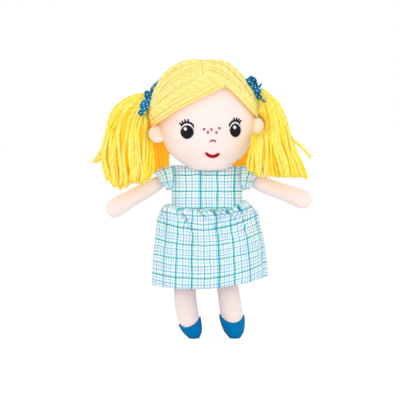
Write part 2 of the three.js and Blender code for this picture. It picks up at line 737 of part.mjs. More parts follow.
function ruffleGeometry({ out, droop }, growth) {
  const heading = radians(out * (90 + droop));
  const along = new THREE.Vector3(Math.sin(heading), 0, Math.cos(heading));
  const over = new THREE.Vector3(-Math.cos(heading) * out, 0, Math.sin(heading) * out);
  const hinge = new THREE.Vector3(out * shoulderHalfWidth, 0, shoulderHeight);
  const rows = [0, 0.45, 1];
  const layer = (inset) => rows.map((reach) => Array.from({ length: ruffleColumns + 1 }, (_, j) => {
    const turn = radians(-ruffleHalfTurn + (2 * ruffleHalfTurn * j) / ruffleColumns);
    const fade = Math.cos((turn * 90) / ruffleHalfTurn);
    const seamY = ruffleSeamDepth * Math.sin(turn);
    const seamH = shoulderHeight + ruffleSeamHeight * Math.cos(turn);
    const seam = new THREE.Vector3(out * (torsoX(seamY, seamH) + ruffleSeat), seamY, seamH)
      .add(new THREE.Vector3(0, Math.sin(turn), Math.cos(turn)).multiplyScalar(ruffleSeat - inset));
    const radius = armRadius + sewnGap + dressWall + ruffleFlareWidth - inset
      + ruffleWaveDepth * Math.sin(ruffleWaves * turn);
    const edge = hinge.clone().addScaledVector(along, ruffleLength * fade - shoulderBallRadius)
      .addScaledVector(over, radius * Math.cos(turn)).add(new THREE.Vector3(0, radius * Math.sin(turn), 0));
    return seam.lerp(edge, reach);
  }));
  const outer = layer(-growth);
  const inner = layer(dressWall + growth);
  const points = [...outer.flat(), ...inner.flat()];
  const wideRow = ruffleColumns + 1;
  const total = rows.length * wideRow;
  const triangles = [];
  const quad = (a, b, c, d) => {
    if (out < 0) triangles.push(a, b, c, a, c, d);
    else triangles.push(a, c, b, a, d, c);
  };
  for (let r = 0; r + 1 < rows.length; r += 1) {
    for (let j = 0; j < ruffleColumns; j += 1) {
      const a = r * wideRow + j;
      quad(a, a + 1, a + 1 + wideRow, a + wideRow);
      quad(total + a, total + a + wideRow, total + a + 1 + wideRow, total + a + 1);
    }
    const start = r * wideRow;
    const end = start + ruffleColumns;
    quad(start, start + wideRow, total + start + wideRow, total + start);
    quad(end, total + end, total + end + wideRow, end + wideRow);
  }
  const lastRow = (rows.length - 1) * wideRow;
  for (let j = 0; j < ruffleColumns; j += 1) {
    quad(j + 1, j, total + j, total + j + 1);
    quad(lastRow + j, lastRow + j + 1, total + lastRow + j + 1, total + lastRow + j);
  }
  return geometryFrom(points, triangles);
}

// Dress bodice: a front and two back panels with seams at the sides and shoulders, a dipped
// neckline and round armholes, fitted over the torso

function torsoForm(growth) {
  const rings = grown([...torsoRings, section(0, 0, torsoTop, 0, 0)], growth);
  return toSolid(skin(rings, torsoSides));
}

const bodiceRoom = torsoForm(dressWall + 2 * sewnGap);
for (const each of sides) {
  const ruffle = toSolid(ruffleGeometry(each, 0)).subtract(bodiceRoom);
  addPart(`${each.side}_sleeve_ruffle`, toGeometry(ruffle), colours.plaid);
}

const seamHeight = waistHeight + sewnGap / 2;
const bodiceTop = torsoTop + dressWall + sewnGap;
const neckHole = ovalSolid(0, 0, bodiceTop, necklineWidth / 2, headDepth, necklineDepth, torsoSides);
const armhole = (out) => {
  const cut = new THREE.CylinderGeometry(armholeRadius, armholeRadius, far, torsoSides);
  cut.rotateZ(Math.PI / 2);
  cut.translate(out * (torsoWidth / 2 - dressWall - sewnGap + far / 2), 0, shoulderHeight);
  return toSolid(cut);
};
const bodiceShell = torsoForm(sewnGap + dressWall).subtract(torsoForm(sewnGap))
  .intersect(higherThan(seamHeight)).subtract(neckHole).subtract(armhole(1)).subtract(armhole(-1));
const backPanels = bodiceShell.subtract(inFrontOf(sewnGap / 2));
addPart('bodice_front', toGeometry(bodiceShell.intersect(inFrontOf(-sewnGap / 2))), colours.plaid);
addPart('bodice_back_left', toGeometry(backPanels.intersect(leftOf(sewnGap / 2))), colours.plaid);
addPart('bodice_back_right', toGeometry(backPanels.subtract(leftOf(-sewnGap / 2))), colours.plaid);

// Back closing: a loop tape and a hook tape under a placket, stacked over the panels' meeting edge

const tapeEndLength = 4;
const closureTop = torsoTop - necklineDepth - tapeEndLength;
const closureShell = (near, outside, width) => torsoForm(outside).subtract(torsoForm(near))
  .intersect(blockSolid([-width / 2, 0, seamHeight + tapeEndLength], [width / 2, far, closureTop]));
const closureLayers = [
  ['closure_loop_tape', placketWidth - 2 * dressWall, threadWall, colours.tape],
  ['closure_hook_tape', placketWidth - 2 * dressWall, threadWall, colours.tape],
  ['back_placket', placketWidth, dressWall, colours.plaid],
];
let layerStart = sewnGap + dressWall + sewnGap;
for (const [name, width, wall, colour] of closureLayers) {
  addPart(name, toGeometry(closureShell(layerStart, layerStart + wall, width)), colour);
  layerStart += wall + sewnGap;
}

// Skirt: a gathered ring of cloth that hangs in folds from the waist seam. Rows are the drop from
// the waist as a share of the skirt's length, the width and depth as shares of the hem's, and the
// share of the full fold depth.

const skirtShares = [
  [0, 0.63, 0.585, 0.12], [0.05, 0.74, 0.66, 0.4], [0.13, 0.88, 0.77, 0.62], [0.3, 0.945, 0.86, 0.72],
  [0.55, 0.98, 0.93, 0.85], [0.8, 1, 0.98, 0.95], [1, 1.01, 1, 1],
];
const skirtTop = waistHeight - sewnGap / 2;
const skirtSides = 4 * foldCount;
const skirtFolds = new Map();
const skirtRing = ([down, broad, deep, fold], inset) => {
  const ring = section(0, 0, skirtTop - down * skirtLength,
    (broad * skirtWidth) / 2 - inset, (deep * skirtDepth) / 2 - inset, -down * hemAngle);
  skirtFolds.set(ring, fold);
  return ring;
};
const skirtWave = (ring, turn) => (skirtFolds.get(ring) * foldDepth * Math.sin(foldCount * turn)) / 2;
const skirtOutside = skirtShares.map((row) => skirtRing(row, 0)).reverse();
const skirtInside = skirtShares.map((row) => skirtRing(row, dressWall));
const skirtSkin = skin([...skirtOutside, ...skirtInside], skirtSides, { looped: true, wave: skirtWave });
addPart('skirt', skirtSkin, colours.plaid);

// Pigtails, cut clear of the head, the hair, the ears, the arms and the ruffles

const pigtailClear = hairSolid(sewnGap).add(backHairSolid(sewnGap)).add(ears);
for (const each of sides) {
  const bundle = toSolid(skin(pigtailSections(each), pigtailSides));
  const arm = closedForm(armSections(each), sewnGap, armSides);
  const ruffle = toSolid(ruffleGeometry(each, sewnGap));
  const pigtail = bundle.subtract(pigtailClear).subtract(arm).subtract(ruffle);
  addPart(`${each.side}_pigtail`, toGeometry(pigtail), colours.pigtail);
}

// Hair ties: a ring of cord round the neck of each pigtail, and a ribbon bow in front of it with
// two loops, two tails and a knot

const bowTurn = { right: 25, left: -25 };
const bowLean = { right: -123, left: 108 };
const bowForwardLength = 11.5;
const bowOutLength = 1.5;
const tieCordSides = 5;
const tieSides = 12;
const knotColumns = 10;
const knotRows = 6;
const knotShares = [0.8, 1, 0.55];

function bowOutline() {
  const shape = new THREE.Shape();
  const half = ribbonWidth / 2;
  shape.moveTo(-half * 0.4, -half * 0.4);
  shape.lineTo(-bowTailLength * 0.5, -bowTailLength * 0.8);
  shape.lineTo(-bowTailLength * 0.15, -bowTailLength);
  shape.lineTo(0, -half);
  shape.lineTo(bowTailLength * 0.3, -bowTailLength);
  shape.lineTo(bowTailLength * 0.6, -bowTailLength * 0.75);
  shape.lineTo(half * 0.5, -half * 0.4);
  shape.lineTo(bowLoopLength * 0.8, -half * 1.1);
  shape.lineTo(bowLoopLength, -half * 0.2);
  shape.lineTo(bowLoopLength * 0.85, half * 1.2);
  shape.lineTo(half * 0.4, half * 0.5);
  shape.lineTo(-half * 0.4, half * 0.5);
  shape.lineTo(-bowLoopLength * 0.85, half * 1.2);
  shape.lineTo(-bowLoopLength, -half * 0.2);
  shape.lineTo(-bowLoopLength * 0.8, -half * 1.1);
  return shape;
}

for (const each of sides) {
  const { side, out } = each;
  const [x, y, h] = tiePlace(each);
  const ring = new THREE.TorusGeometry(tieRadius + tieCordRadius, tieCordRadius, tieCordSides, tieSides);
  ring.rotateY(radians(out * rootHeading[side]));
  ring.translate(x, y, h);
  addPart(`${side}_hair_tie`, ring, colours.ribbon);
  const bow = new THREE.ExtrudeGeometry(bowOutline(), { depth: ribbonThickness, bevelEnabled: false });
  const knot = new THREE.SphereGeometry(1, knotColumns, knotRows);
  knot.scale(...knotShares.map((share) => share * knotRadius));
  knot.translate(0, 0, ribbonThickness + knotShares[2] * knotRadius + sewnGap);
  for (const [name, piece] of [[`${side}_ribbon_bow`, bow], [`${side}_bow_knot`, knot]]) {
    piece.rotateZ(radians(bowLean[side]));
    piece.rotateX(Math.PI / 2);
    piece.rotateZ(radians(bowTurn[side]));
    piece.translate(x + out * bowOutLength, y - bowForwardLength, h);
    addPart(name, toGeometry(toSolid(piece).subtract(pigtailClear)), colours.ribbon);
  }
}

export default doll;
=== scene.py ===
import math
import random

import bmesh
import bpy
import numpy as np
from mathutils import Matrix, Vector
from mathutils.bvhtree import BVHTree

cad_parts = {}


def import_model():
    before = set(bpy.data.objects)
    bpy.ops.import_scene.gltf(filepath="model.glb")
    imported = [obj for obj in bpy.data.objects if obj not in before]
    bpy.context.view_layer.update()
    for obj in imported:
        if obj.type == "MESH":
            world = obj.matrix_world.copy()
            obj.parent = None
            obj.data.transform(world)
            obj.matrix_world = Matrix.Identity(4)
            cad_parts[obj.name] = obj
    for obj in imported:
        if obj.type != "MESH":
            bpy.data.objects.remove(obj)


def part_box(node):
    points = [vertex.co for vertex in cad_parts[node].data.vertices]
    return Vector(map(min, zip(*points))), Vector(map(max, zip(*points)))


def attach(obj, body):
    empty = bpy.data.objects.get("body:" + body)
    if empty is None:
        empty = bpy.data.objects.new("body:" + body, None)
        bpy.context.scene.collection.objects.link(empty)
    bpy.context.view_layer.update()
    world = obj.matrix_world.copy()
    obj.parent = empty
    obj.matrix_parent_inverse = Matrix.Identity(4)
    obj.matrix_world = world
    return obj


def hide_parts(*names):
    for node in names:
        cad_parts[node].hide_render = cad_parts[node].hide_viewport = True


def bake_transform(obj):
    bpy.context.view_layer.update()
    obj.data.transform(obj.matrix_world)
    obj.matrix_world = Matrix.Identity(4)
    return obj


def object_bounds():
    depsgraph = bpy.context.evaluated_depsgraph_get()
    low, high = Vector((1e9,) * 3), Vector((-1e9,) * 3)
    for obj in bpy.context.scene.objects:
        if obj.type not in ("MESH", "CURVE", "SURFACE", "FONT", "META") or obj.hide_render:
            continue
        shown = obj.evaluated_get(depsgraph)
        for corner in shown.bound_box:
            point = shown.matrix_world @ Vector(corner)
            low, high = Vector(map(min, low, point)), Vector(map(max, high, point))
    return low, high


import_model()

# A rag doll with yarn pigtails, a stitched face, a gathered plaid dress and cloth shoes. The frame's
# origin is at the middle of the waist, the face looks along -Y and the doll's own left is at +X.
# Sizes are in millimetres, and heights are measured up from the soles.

cad_low, cad_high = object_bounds()
MM = 0.001
WAIST_HEIGHT = -cad_low.z / MM


def place(x, y, h):
    """A point of the frame in metres, from millimetres and a height above the soles."""
    return np.array((x, y, h - WAIST_HEIGHT)) * MM


# Camera: level with the doll's waist, far enough off that the doll shows with little perspective.

CAMERA_DISTANCE = 2600
CAMERA_ASIDE = -7.5
CAMERA_HEIGHT = 148.7
FIELD_WIDTH = 429.8

camera_data = bpy.data.cameras.new("studio_camera")
camera_data.sensor_width = 36
camera_data.lens = camera_data.sensor_width * CAMERA_DISTANCE / FIELD_WIDTH
camera = bpy.data.objects.new("studio_camera", camera_data)
camera.location = place(CAMERA_ASIDE, -CAMERA_DISTANCE, CAMERA_HEIGHT)
camera.rotation_euler = (math.radians(90), 0, 0)
bpy.context.scene.collection.objects.link(camera)
bpy.context.scene.camera = camera


# Floor: a plain white sheet under the soles. It shows white to the camera and keeps a faint shadow.

def add_node(tree, kind, settings=None, links=None):
    """Adds a shader node, sets its properties and sockets, and links other nodes' outputs to it."""
    node = tree.nodes.new(kind)
    for key, value in (settings or {}).items():
        if isinstance(key, str) and hasattr(node, key):
            setattr(node, key, value)
        else:
            node.inputs[key].default_value = value
    for key, output in (links or {}).items():
        tree.links.new(output, node.inputs[key])
    return node


def linear(code):
    """An sRGB hex colour as a linear colour."""
    parts = [int(code[i:i + 2], 16) / 255 for i in (1, 3, 5)]
    return tuple(c / 12.92 if c <= 0.04045 else ((c + 0.055) / 1.055) ** 2.4 for c in parts) + (1,)


def new_material(name):
    """An empty material with its output node."""
    material = bpy.data.materials.new(name)
    material.use_nodes = True
    material.node_tree.nodes.clear()
    return material, material.node_tree


FLOOR_SIZE = 12000
FLOOR_GLOW = 1.12
SHADOW_SHARE = 0.22


def background_rays(tree):
    """Is 1 for the rays of the camera and of mirrors, which see the background and not its light."""
    rays = add_node(tree, "ShaderNodeLightPath")
    return add_node(tree, "ShaderNodeMath", {"operation": "MAXIMUM"},
                    {0: rays.outputs["Is Camera Ray"], 1: rays.outputs["Is Glossy Ray"]})


floor_material, tree = new_material("white_paper_floor")
paper = add_node(tree, "ShaderNodeBsdfDiffuse", {"Color": linear("#f4f4f4")})
glow = add_node(tree, "ShaderNodeEmission", {"Color": linear("#ffffff"), "Strength": FLOOR_GLOW})
seen = background_rays(tree)
share = add_node(tree, "ShaderNodeMath", {"operation": "MULTIPLY", 1: 1 - SHADOW_SHARE},
                 {0: seen.outputs[0]})
lit = add_node(tree, "ShaderNodeMixShader", None,
               {0: share.outputs[0], 1: paper.outputs[0], 2: glow.outputs[0]})
add_node(tree, "ShaderNodeOutputMaterial", None, {"Surface": lit.outputs[0]})

bpy.ops.mesh.primitive_plane_add(size=FLOOR_SIZE * MM, location=place(0, 0, 0))
floor = bpy.context.object
floor.name = "floor"
floor.data.materials.append(floor_material)

# World: a plain white studio. What it gives as light is a little less than what the camera sees.

WORLD_STRENGTH = 0.99

world = bpy.data.worlds.new("studio")
bpy.context.scene.world = world
world.use_nodes = True
tree = world.node_tree
tree.nodes.clear()
dim = add_node(tree, "ShaderNodeBackground", {"Color": linear("#ffffff"), "Strength": WORLD_STRENGTH})
white = add_node(tree, "ShaderNodeBackground", {"Color": linear("#ffffff"), "Strength": 1})
seen = background_rays(tree)
mixed = add_node(tree, "ShaderNodeMixShader", None,
                 {0: seen.outputs[0], 1: dim.outputs[0], 2: white.outputs[0]})
add_node(tree, "ShaderNodeOutputWorld", None, {"Surface": mixed.outputs[0]})

# Lamps: one large soft key from the upper left, a weak fill from the right and one from low down.

LAMP_AIM_HEIGHT = 180

for name, x, y, h, size, power in [
    ("key", -700, -1200, 900, 900, 0.4),
    ("fill", 900, -1000, 400, 1000, 0.4),
    ("low", 0, -1300, 40, 900, 3.6),
]:
    lamp_data = bpy.data.lights.new(name, "AREA")
    lamp_data.size = size * MM
    lamp_data.energy = power
    lamp = bpy.data.objects.new(name, lamp_data)
    lamp.location = place(x, y, h)
    towards = Vector(place(0, 0, LAMP_AIM_HEIGHT)) - lamp.location
    lamp.rotation_mode = "QUATERNION"
    lamp.rotation_quaternion = towards.to_track_quat("-Z", "Y")
    bpy.context.scene.collection.objects.link(lamp)

bpy.context.scene.view_settings.view_transform = "Standard"


# Torso: a flat bag of brushed cotton, sewn from a front and a back, and filled with fibre. The
# fullest cloth lies over the hips and the chest, and both ends are drawn in by their seams.

def smooth_rows(rows, steps):
    """The rows with more between them, on one smooth curve through all of them."""
    rows = np.array(rows, float)
    ends = np.vstack([2 * rows[0] - rows[1], rows, 2 * rows[-1] - rows[-2]])
    made = []
    for a, b, c, d in zip(ends, ends[1:], ends[2:], ends[3:]):
        for t in np.arange(steps) / steps:
            made.append(0.5 * (2 * b + (c - a) * t + (2 * a - 5 * b + 4 * c - d) * t ** 2
                               + (3 * b - a - 3 * c + d) * t ** 3))
    return np.vstack([made, rows[-1]])


def ring(x, y, h, wide, deep, tilt, sides):
    """The points of an oval about a middle, wide along X before its tilt about Y, in degrees."""
    turn = np.linspace(0, 2 * math.pi, sides, endpoint=False)
    lean = math.radians(tilt)
    u = wide * np.cos(turn)
    v = deep * np.sin(turn)
    return np.column_stack([x + u * math.cos(lean), y + v, h - u * math.sin(lean)])


def new_piece(name, points, faces, uvs=None):
    """A mesh object in the frame, from points in metres. Uvs give a flat place for each point."""
    mesh = bpy.data.meshes.new(name)
    mesh.from_pydata([tuple(p) for p in points], [], [tuple(f) for f in faces])
    if uvs is not None:
        layer = mesh.uv_layers.new(name="flat")
        corners = np.zeros(len(mesh.loops), int)
        mesh.loops.foreach_get("vertex_index", corners)
        layer.data.foreach_set("uv", np.array(uvs, float)[corners].ravel())
    mesh.update()
    mesh.shade_smooth()
    piece = bpy.data.objects.new(name, mesh)
    bpy.context.scene.collection.objects.link(piece)
    return piece


def grid_faces(rows, columns, looped):
    """The four-sided faces of a grid of points; a looped grid joins its last column to its first."""
    faces = []
    for i in range(rows - 1):
        for j in range(columns if looped else columns - 1):
            k = (j + 1) % columns
            faces.append((i * columns + j, i * columns + k, (i + 1) * columns + k, (i + 1) * columns + j))
    return faces


def tidied(piece):
    """Merges the points that meet and turns all the faces outward."""
    bm = bmesh.new()
    bm.from_mesh(piece.data)
    bmesh.ops.remove_doubles(bm, verts=bm.verts, dist=1e-6)
    bmesh.ops.recalc_face_normals(bm, faces=bm.faces)
    bm.to_mesh(piece.data)
    bm.free()
    piece.data.shade_smooth()
    return piece


def stuffed(name, rows, sides=48, steps=6):
    """A closed bag through rows of (x, y, height, half width, half depth, tilt)."""
    rows = smooth_rows(rows, steps)
    rows[:, 3:5] = np.maximum(rows[:, 3:5], 0)
    rings = [ring(*row, sides) for row in rows]
    points = np.array([place(*p) for one in rings for p in one])
    return tidied(new_piece(name, points, grid_faces(len(rows), sides, True)))


CLOTH_FRAMES = 20
CLOTH_PRESSURE = 4


def plumped(piece, voxel, swell):
    """Lets the filling press the cloth out from its sewn shape, by no more than the swell."""
    bpy.context.view_layer.objects.active = piece
    remesh = piece.modifiers.new("even", "REMESH")
    remesh.mode = "VOXEL"
    remesh.voxel_size = voxel * MM
    bpy.ops.object.modifier_apply(modifier=remesh.name)
    count = len(piece.data.vertices)
    sewn = np.zeros(count * 3)
    piece.data.vertices.foreach_get("co", sewn)
    cloth = piece.modifiers.new("filled", "CLOTH")
    cloth.settings.use_pressure = True
    cloth.settings.uniform_pressure_force = CLOTH_PRESSURE
    cloth.settings.effector_weights.gravity = 0
    for step in range(1, CLOTH_FRAMES + 1):
        bpy.context.scene.frame_set(step)
    solved = piece.evaluated_get(bpy.context.evaluated_depsgraph_get())
    pressed = np.zeros(count * 3)
    solved.data.vertices.foreach_get("co", pressed)
    moved = (pressed - sewn).reshape(-1, 3)
    length = np.linalg.norm(moved, axis=1, keepdims=True)
    moved *= np.minimum(1, swell * MM / np.maximum(length, 1e-9))
    piece.modifiers.remove(cloth)
    bpy.context.scene.frame_set(1)
    piece.data.vertices.foreach_set("co", (sewn.reshape(-1, 3) + moved).ravel())
    piece.data.update()
    soft = piece.modifiers.new("soft", "SUBSURF")
    soft.levels = soft.render_levels = 1
    bpy.ops.object.modifier_apply(modifier=soft.name)
    piece.data.shade_smooth()
    return piece


# Brushed cotton: a soft plain weave with a short raised nap. It gives a matt, warm surface with a
# faint bright edge. Its threads are 0.4 mm apart, drawn at 0.9 mm so that they show.

WEAVE_PITCH = 0.9
NAP_HEIGHT = 0.12


def woven_bump(tree, pitch, depth, fuzz, coordinates):
    """Bump from two crossing sets of threads and a fine fuzz."""
    scaled = add_node(tree, "ShaderNodeVectorMath", {"operation": "SCALE", "Scale": 1 / (pitch * MM)},
                      {0: coordinates})
    weave = add_node(tree, "ShaderNodeTexChecker", {"Scale": 1}, {"Vector": scaled.outputs[0]})
    fibres = add_node(tree, "ShaderNodeTexNoise", {"Scale": fuzz, "Detail": 6, "Roughness": 0.7},
                      {"Vector": coordinates})
    both = add_node(tree, "ShaderNodeMath", {"operation": "MULTIPLY_ADD", 1: 0.35},
                    {0: weave.outputs["Fac"], 2: fibres.outputs["Fac"]})
    return add_node(tree, "ShaderNodeBump", {"Strength": 0.35, "Distance": depth * MM},
                    {"Height": both.outputs[0]})


def brushed_cotton(name, colour, shade):
    """Soft skin cloth, with faint blotches of a second shade."""
    material, tree = new_material(name)
    coordinates = add_node(tree, "ShaderNodeTexCoord")
    blotches = add_node(tree, "ShaderNodeTexNoise", {"Scale": 38, "Detail": 3},
                        {"Vector": coordinates.outputs["Object"]})
    tone = add_node(tree, "ShaderNodeMix",
                    {"data_type": "RGBA", "A": linear(colour), "B": linear(shade)})
    ramp = add_node(tree, "ShaderNodeMapRange", {"From Min": 0.45, "From Max": 0.8, "To Max": 0.55},
                    {"Value": blotches.outputs["Fac"]})
    tree.links.new(ramp.outputs[0], tone.inputs["Factor"])
    bump = woven_bump(tree, WEAVE_PITCH, NAP_HEIGHT, 2600, coordinates.outputs["Object"])
    cloth = add_node(tree, "ShaderNodeBsdfPrincipled",
                     {"Roughness": 0.95, "Sheen Weight": 0.2, "Sheen Roughness": 0.5,
                      "Specular IOR Level": 0.1},
                     {"Normal": bump.outputs[0]})
    tree.links.new(tone.outputs["Result"], cloth.inputs["Base Color"])
    add_node(tree, "ShaderNodeOutputMaterial", None, {"Surface": cloth.outputs[0]})
    return material


skin_cloth = brushed_cotton("brushed_cotton_skin", "#ffece8", "#fde1dd")


def box_of(node):
    """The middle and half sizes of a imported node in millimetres, with heights above the soles."""
    low, high = np.array(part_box(node)) / MM + (0, 0, WAIST_HEIGHT)
    return (low + high) / 2, (high - low) / 2


def bag_in(name, node, shares, sides=48, steps=6):
    """A stuffed bag that fills a node's box. Shares are of its height, its width and its depth."""
    (x, y, h), (half_x, half_y, half_h) = box_of(node)
    rows = [
        (x, y, h + (2 * up - 1) * half_h, wide * half_x, deep * half_y, 0)
        for up, wide, deep in shares
    ]
    return stuffed(name, rows, sides, steps)


torso = bag_in("torso", "torso_cover", [
    (0, 0, 0), (0, 0.6, 0.36), (0.06, 0.87, 0.72), (0.16, 0.97, 0.95), (0.35, 1, 1), (0.51, 0.985, 0.96),
    (0.7, 1, 1), (0.86, 0.985, 0.9), (0.95, 0.93, 0.74), (0.995, 0.78, 0.25), (1, 0, 0),
])
torso.data.materials.append(skin_cloth)
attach(torso, "torso")
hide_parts("torso_cover", "torso_stuffing")

# Neck: a short flat strip of the same cloth that joins the torso to the head.

neck = bag_in("neck_strip", "neck", [
    (0, 0, 0), (0.1, 0.8, 0.8), (0.5, 1, 1), (0.9, 0.8, 0.8), (1, 0, 0),
], sides=32)
neck.data.materials.append(skin_cloth)
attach(neck, "neck")
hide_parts("neck")

# Head: a ball of skin cloth, narrower at the chin, stuffed tight. Rows are the height up from the
# chin, the width, the depth and the sideways shift, as shares of the head.

HEAD_WIDTH = 99
(_, HEAD_Y, head_h), (_, half_depth, half_height) = box_of("head_cover")
HEAD_DEPTH = 2 * half_depth
HEAD_HEIGHT = 2 * half_height
CHIN_HEIGHT = head_h - half_height
head_shares = [
    (1, 0, 0, 0), (0.985, 0.26, 0.24, 0), (0.94, 0.5, 0.48, -0.01), (0.86, 0.74, 0.72, -0.02),
    (0.74, 0.92, 0.89, -0.015), (0.6, 1.015, 0.985, -0.012), (0.46, 1.045, 1, -0.006),
    (0.34, 0.995, 0.97, -0.002), (0.24, 0.92, 0.88, 0.002), (0.155, 0.8, 0.74, 0.004),
    (0.075, 0.58, 0.56, 0.01), (0.02, 0.42, 0.44, 0.02), (0, 0.3, 0.34, 0.01), (0, 0, 0, 0),
]
head_rows = [
    (shift * HEAD_WIDTH, HEAD_Y, CHIN_HEIGHT + up * HEAD_HEIGHT, wide * HEAD_WIDTH / 2,
     deep * HEAD_DEPTH / 2, 180)
    for up, wide, deep, shift in head_shares
]
head = plumped(stuffed("head", head_rows, sides=72), voxel=3, swell=0.8)
head.data.materials.append(skin_cloth)


def surface_of(*pieces):
    """A tree of the pieces' faces, for finding where a line meets them."""
    points, faces = [], []
    for piece in pieces:
        start = len(points)
        points += [v.co.copy() for v in piece.data.vertices]
        faces += [[start + i for i in face.vertices] for face in piece.data.polygons]
    return BVHTree.FromPolygons(points, faces)


head_surface = surface_of(head)
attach(head, "head")
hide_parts("head_cover", "head_stuffing")

# Ears: two round lobes of skin cloth, lightly stuffed and caught in the seam at the side of the
# head. A stitched crease runs down where each one meets the face.

# The ears take a lighter, pinker cloth than the face: painted light against the shade the hair casts on them.
lightened_ear_cloth = brushed_cotton("brushed_cotton_ear_lightened", "#fff8f6", "#ffece8")
EAR_SIDES = 40
CREASE_WIDTH = 1.6
CREASE_SHARE = 0.35
ear_shares = [(0, 1), (0.3, 0.97), (0.55, 0.86), (0.78, 0.62), (0.93, 0.34), (1, 0)]
SIDES = (("left", 1), ("right", -1))

for side, out in SIDES:
    (x, y, h), (half_x, half_y, radius) = box_of(f"{side}_ear")
    x += out * (half_x - radius)
    profile = smooth_rows(ear_shares, 4)
    rows = [(reach, -thick) for reach, thick in profile[:-1]]
    rows += [(reach, thick) for reach, thick in profile[::-1]]
    points = []
    for reach, thick in rows:
        for j in range(EAR_SIDES):
            turn = 2 * math.pi * j / EAR_SIDES
            u = radius * reach * math.cos(turn)
            v = radius * reach * math.sin(turn)
            crease = math.exp(-((u * out + CREASE_SHARE * radius) / CREASE_WIDTH) ** 2)
            points.append(place(x + u, y + half_y * thick * (1 - CREASE_SHARE * crease), h + v))
    ear = tidied(new_piece(f"{side}_ear_lobe", points, grid_faces(len(rows), EAR_SIDES, True)))
    ear.data.materials.append(lightened_ear_cloth)
    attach(ear, "head")
    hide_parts(f"{side}_ear")

# Arms: slim stuffed tubes of skin cloth with mitten ends, sewn to a tab at the shoulder. Rows are
# the distance from the shoulder and the radius, as shares of the arm.

ARM_LENGTH = 70
ARM_RADIUS = 8.6
SHOULDER_X = 46
SHOULDER_HEIGHT = 170.5
SHOULDER_BALL = 6
ARM_DROOPS = {"right": 28.5, "left": 20}
ARM_SAGS = {"right": 2.4, "left": 0.4}
arm_shares = [
    (1, 0), (0.985, 0.56), (0.95, 0.92), (0.89, 1.15), (0.8, 1.2), (0.68, 1.13), (0.5, 1.05), (0.3, 1.02),
    (0.17, 0.95), (0.08, 0.82),
]
ball_shares = [(0, 1), (-0.5, 0.866), (-0.9, 0.436), (-1, 0)]
pad_shares = [(0, 0), (0, 0.8), (0.2, 0.96), (0.5, 1), (0.8, 0.96), (1, 0.8), (1, 0)]


def sewn_pad(name, node, body):
    """A thin folded piece of skin cloth between two stuffed bags."""
    pad = bag_in(name, node, [(up, size, size) for up, size in pad_shares], 32, 3)
    pad.data.materials.append(skin_cloth)
    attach(pad, body)
    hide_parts(node)


for side, out in SIDES:
    droop = ARM_DROOPS[side]
    tilt = out * (90 + droop)
    reach = (math.sin(math.radians(tilt)), math.cos(math.radians(tilt)))
    arm_rows = [(along * ARM_LENGTH, wide * ARM_RADIUS) for along, wide in arm_shares]
    arm_rows += [(along * SHOULDER_BALL, wide * SHOULDER_BALL) for along, wide in ball_shares]
    rows = [
        (out * SHOULDER_X + reach[0] * along, 0,
         SHOULDER_HEIGHT + reach[1] * along - ARM_SAGS[side] * (max(0, along) / ARM_LENGTH) ** 2,
         wide, wide, tilt + 180)
        for along, wide in arm_rows
    ]
    arm = plumped(stuffed(f"{side}_arm", rows, sides=36), voxel=1.6, swell=0.5)
    arm.data.materials.append(skin_cloth)
    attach(arm, f"{side}_arm")
    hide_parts(f"{side}_arm_cover", f"{side}_arm_stuffing")
    sewn_pad(f"{side}_tab", f"{side}_shoulder_tab", f"{side}_shoulder")

# Legs: stuffed tubes of skin cloth that end in a foot pointing forward. Rows are the height up the
# leg, the width, the depth and the forward lean, as shares; the path is how far out the leg stands.

LEG_RADIUS = 11.8
HIP_X = 19
HIP_HEIGHT = 86
HIP_BALL = 8
TOE_LENGTH = 9
FOOT_BOTTOM = 1.2
leg_shares = [
    (0, 0, 0, 0.8), (0, 0.26, 0.6, 0.8), (0.03, 0.47, 1, 0.75), (0.09, 0.77, 1.26, 0.6),
    (0.17, 0.94, 1.18, 0.35), (0.26, 1.03, 1.05, 0.08), (0.42, 1.03, 1.02, 0), (0.66, 0.99, 1, 0),
    (0.85, 0.88, 0.88, 0),
]
leg_paths = {"right": [0.72, 1.14, 1.25, 1], "left": [1.58, 1.37, 1.15, 1]}


def leg_x(side, out, up):
    """How far to the side the middle of the leg stands, on a smooth line from foot to hip."""
    path = smooth_rows([(share,) for share in leg_paths[side]], 20)[:, 0]
    return out * HIP_X * float(np.interp(up * (len(path) - 1), range(len(path)), path))


def leg_rows(side, out, grow=0):
    """The rows of a leg, each widened by a cloth's thickness."""
    height = HIP_HEIGHT - FOOT_BOTTOM
    rows = [
        (leg_x(side, out, up), -lean * TOE_LENGTH, FOOT_BOTTOM + up * height,
         wide * LEG_RADIUS + (grow if wide else 0), deep * LEG_RADIUS + (grow if deep else 0), 0)
        for up, wide, deep, lean in leg_shares
    ]
    top = leg_x(side, out, 1)
    rows += [
        (top, 0, HIP_HEIGHT - along * HIP_BALL, wide * HIP_BALL, wide * HIP_BALL, 0)
        for along, wide in ball_shares
    ]
    return rows


for side, out in SIDES:
    leg = plumped(stuffed(f"{side}_leg", leg_rows(side, out), sides=36), voxel=2, swell=0.4)
    leg.data.materials.append(skin_cloth)
    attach(leg, f"{side}_leg")
    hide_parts(f"{side}_leg_cover", f"{side}_leg_stuffing")

# Hip flap: a flat strip of the same cloth that hangs from the torso's lower seam and carries the legs.

sewn_pad("hip_strip", "hip_flap", "lap")

# Shoes: caps of blue felt over the feet, cut low over the instep and higher at the sides and heel.
# Felt is pressed wool: no threads show, only a matt, slightly mottled nap.

SHOE_GAP = 0.3
SHOE_WALL = 1.2
shoe_edges = {"right": (19.3, 4.2, 5.5), "left": (25.4, -0.4, 8)}
SHOE_SIDES = 56
SHOE_ROWS = 26
FOOT_ROWS = 7

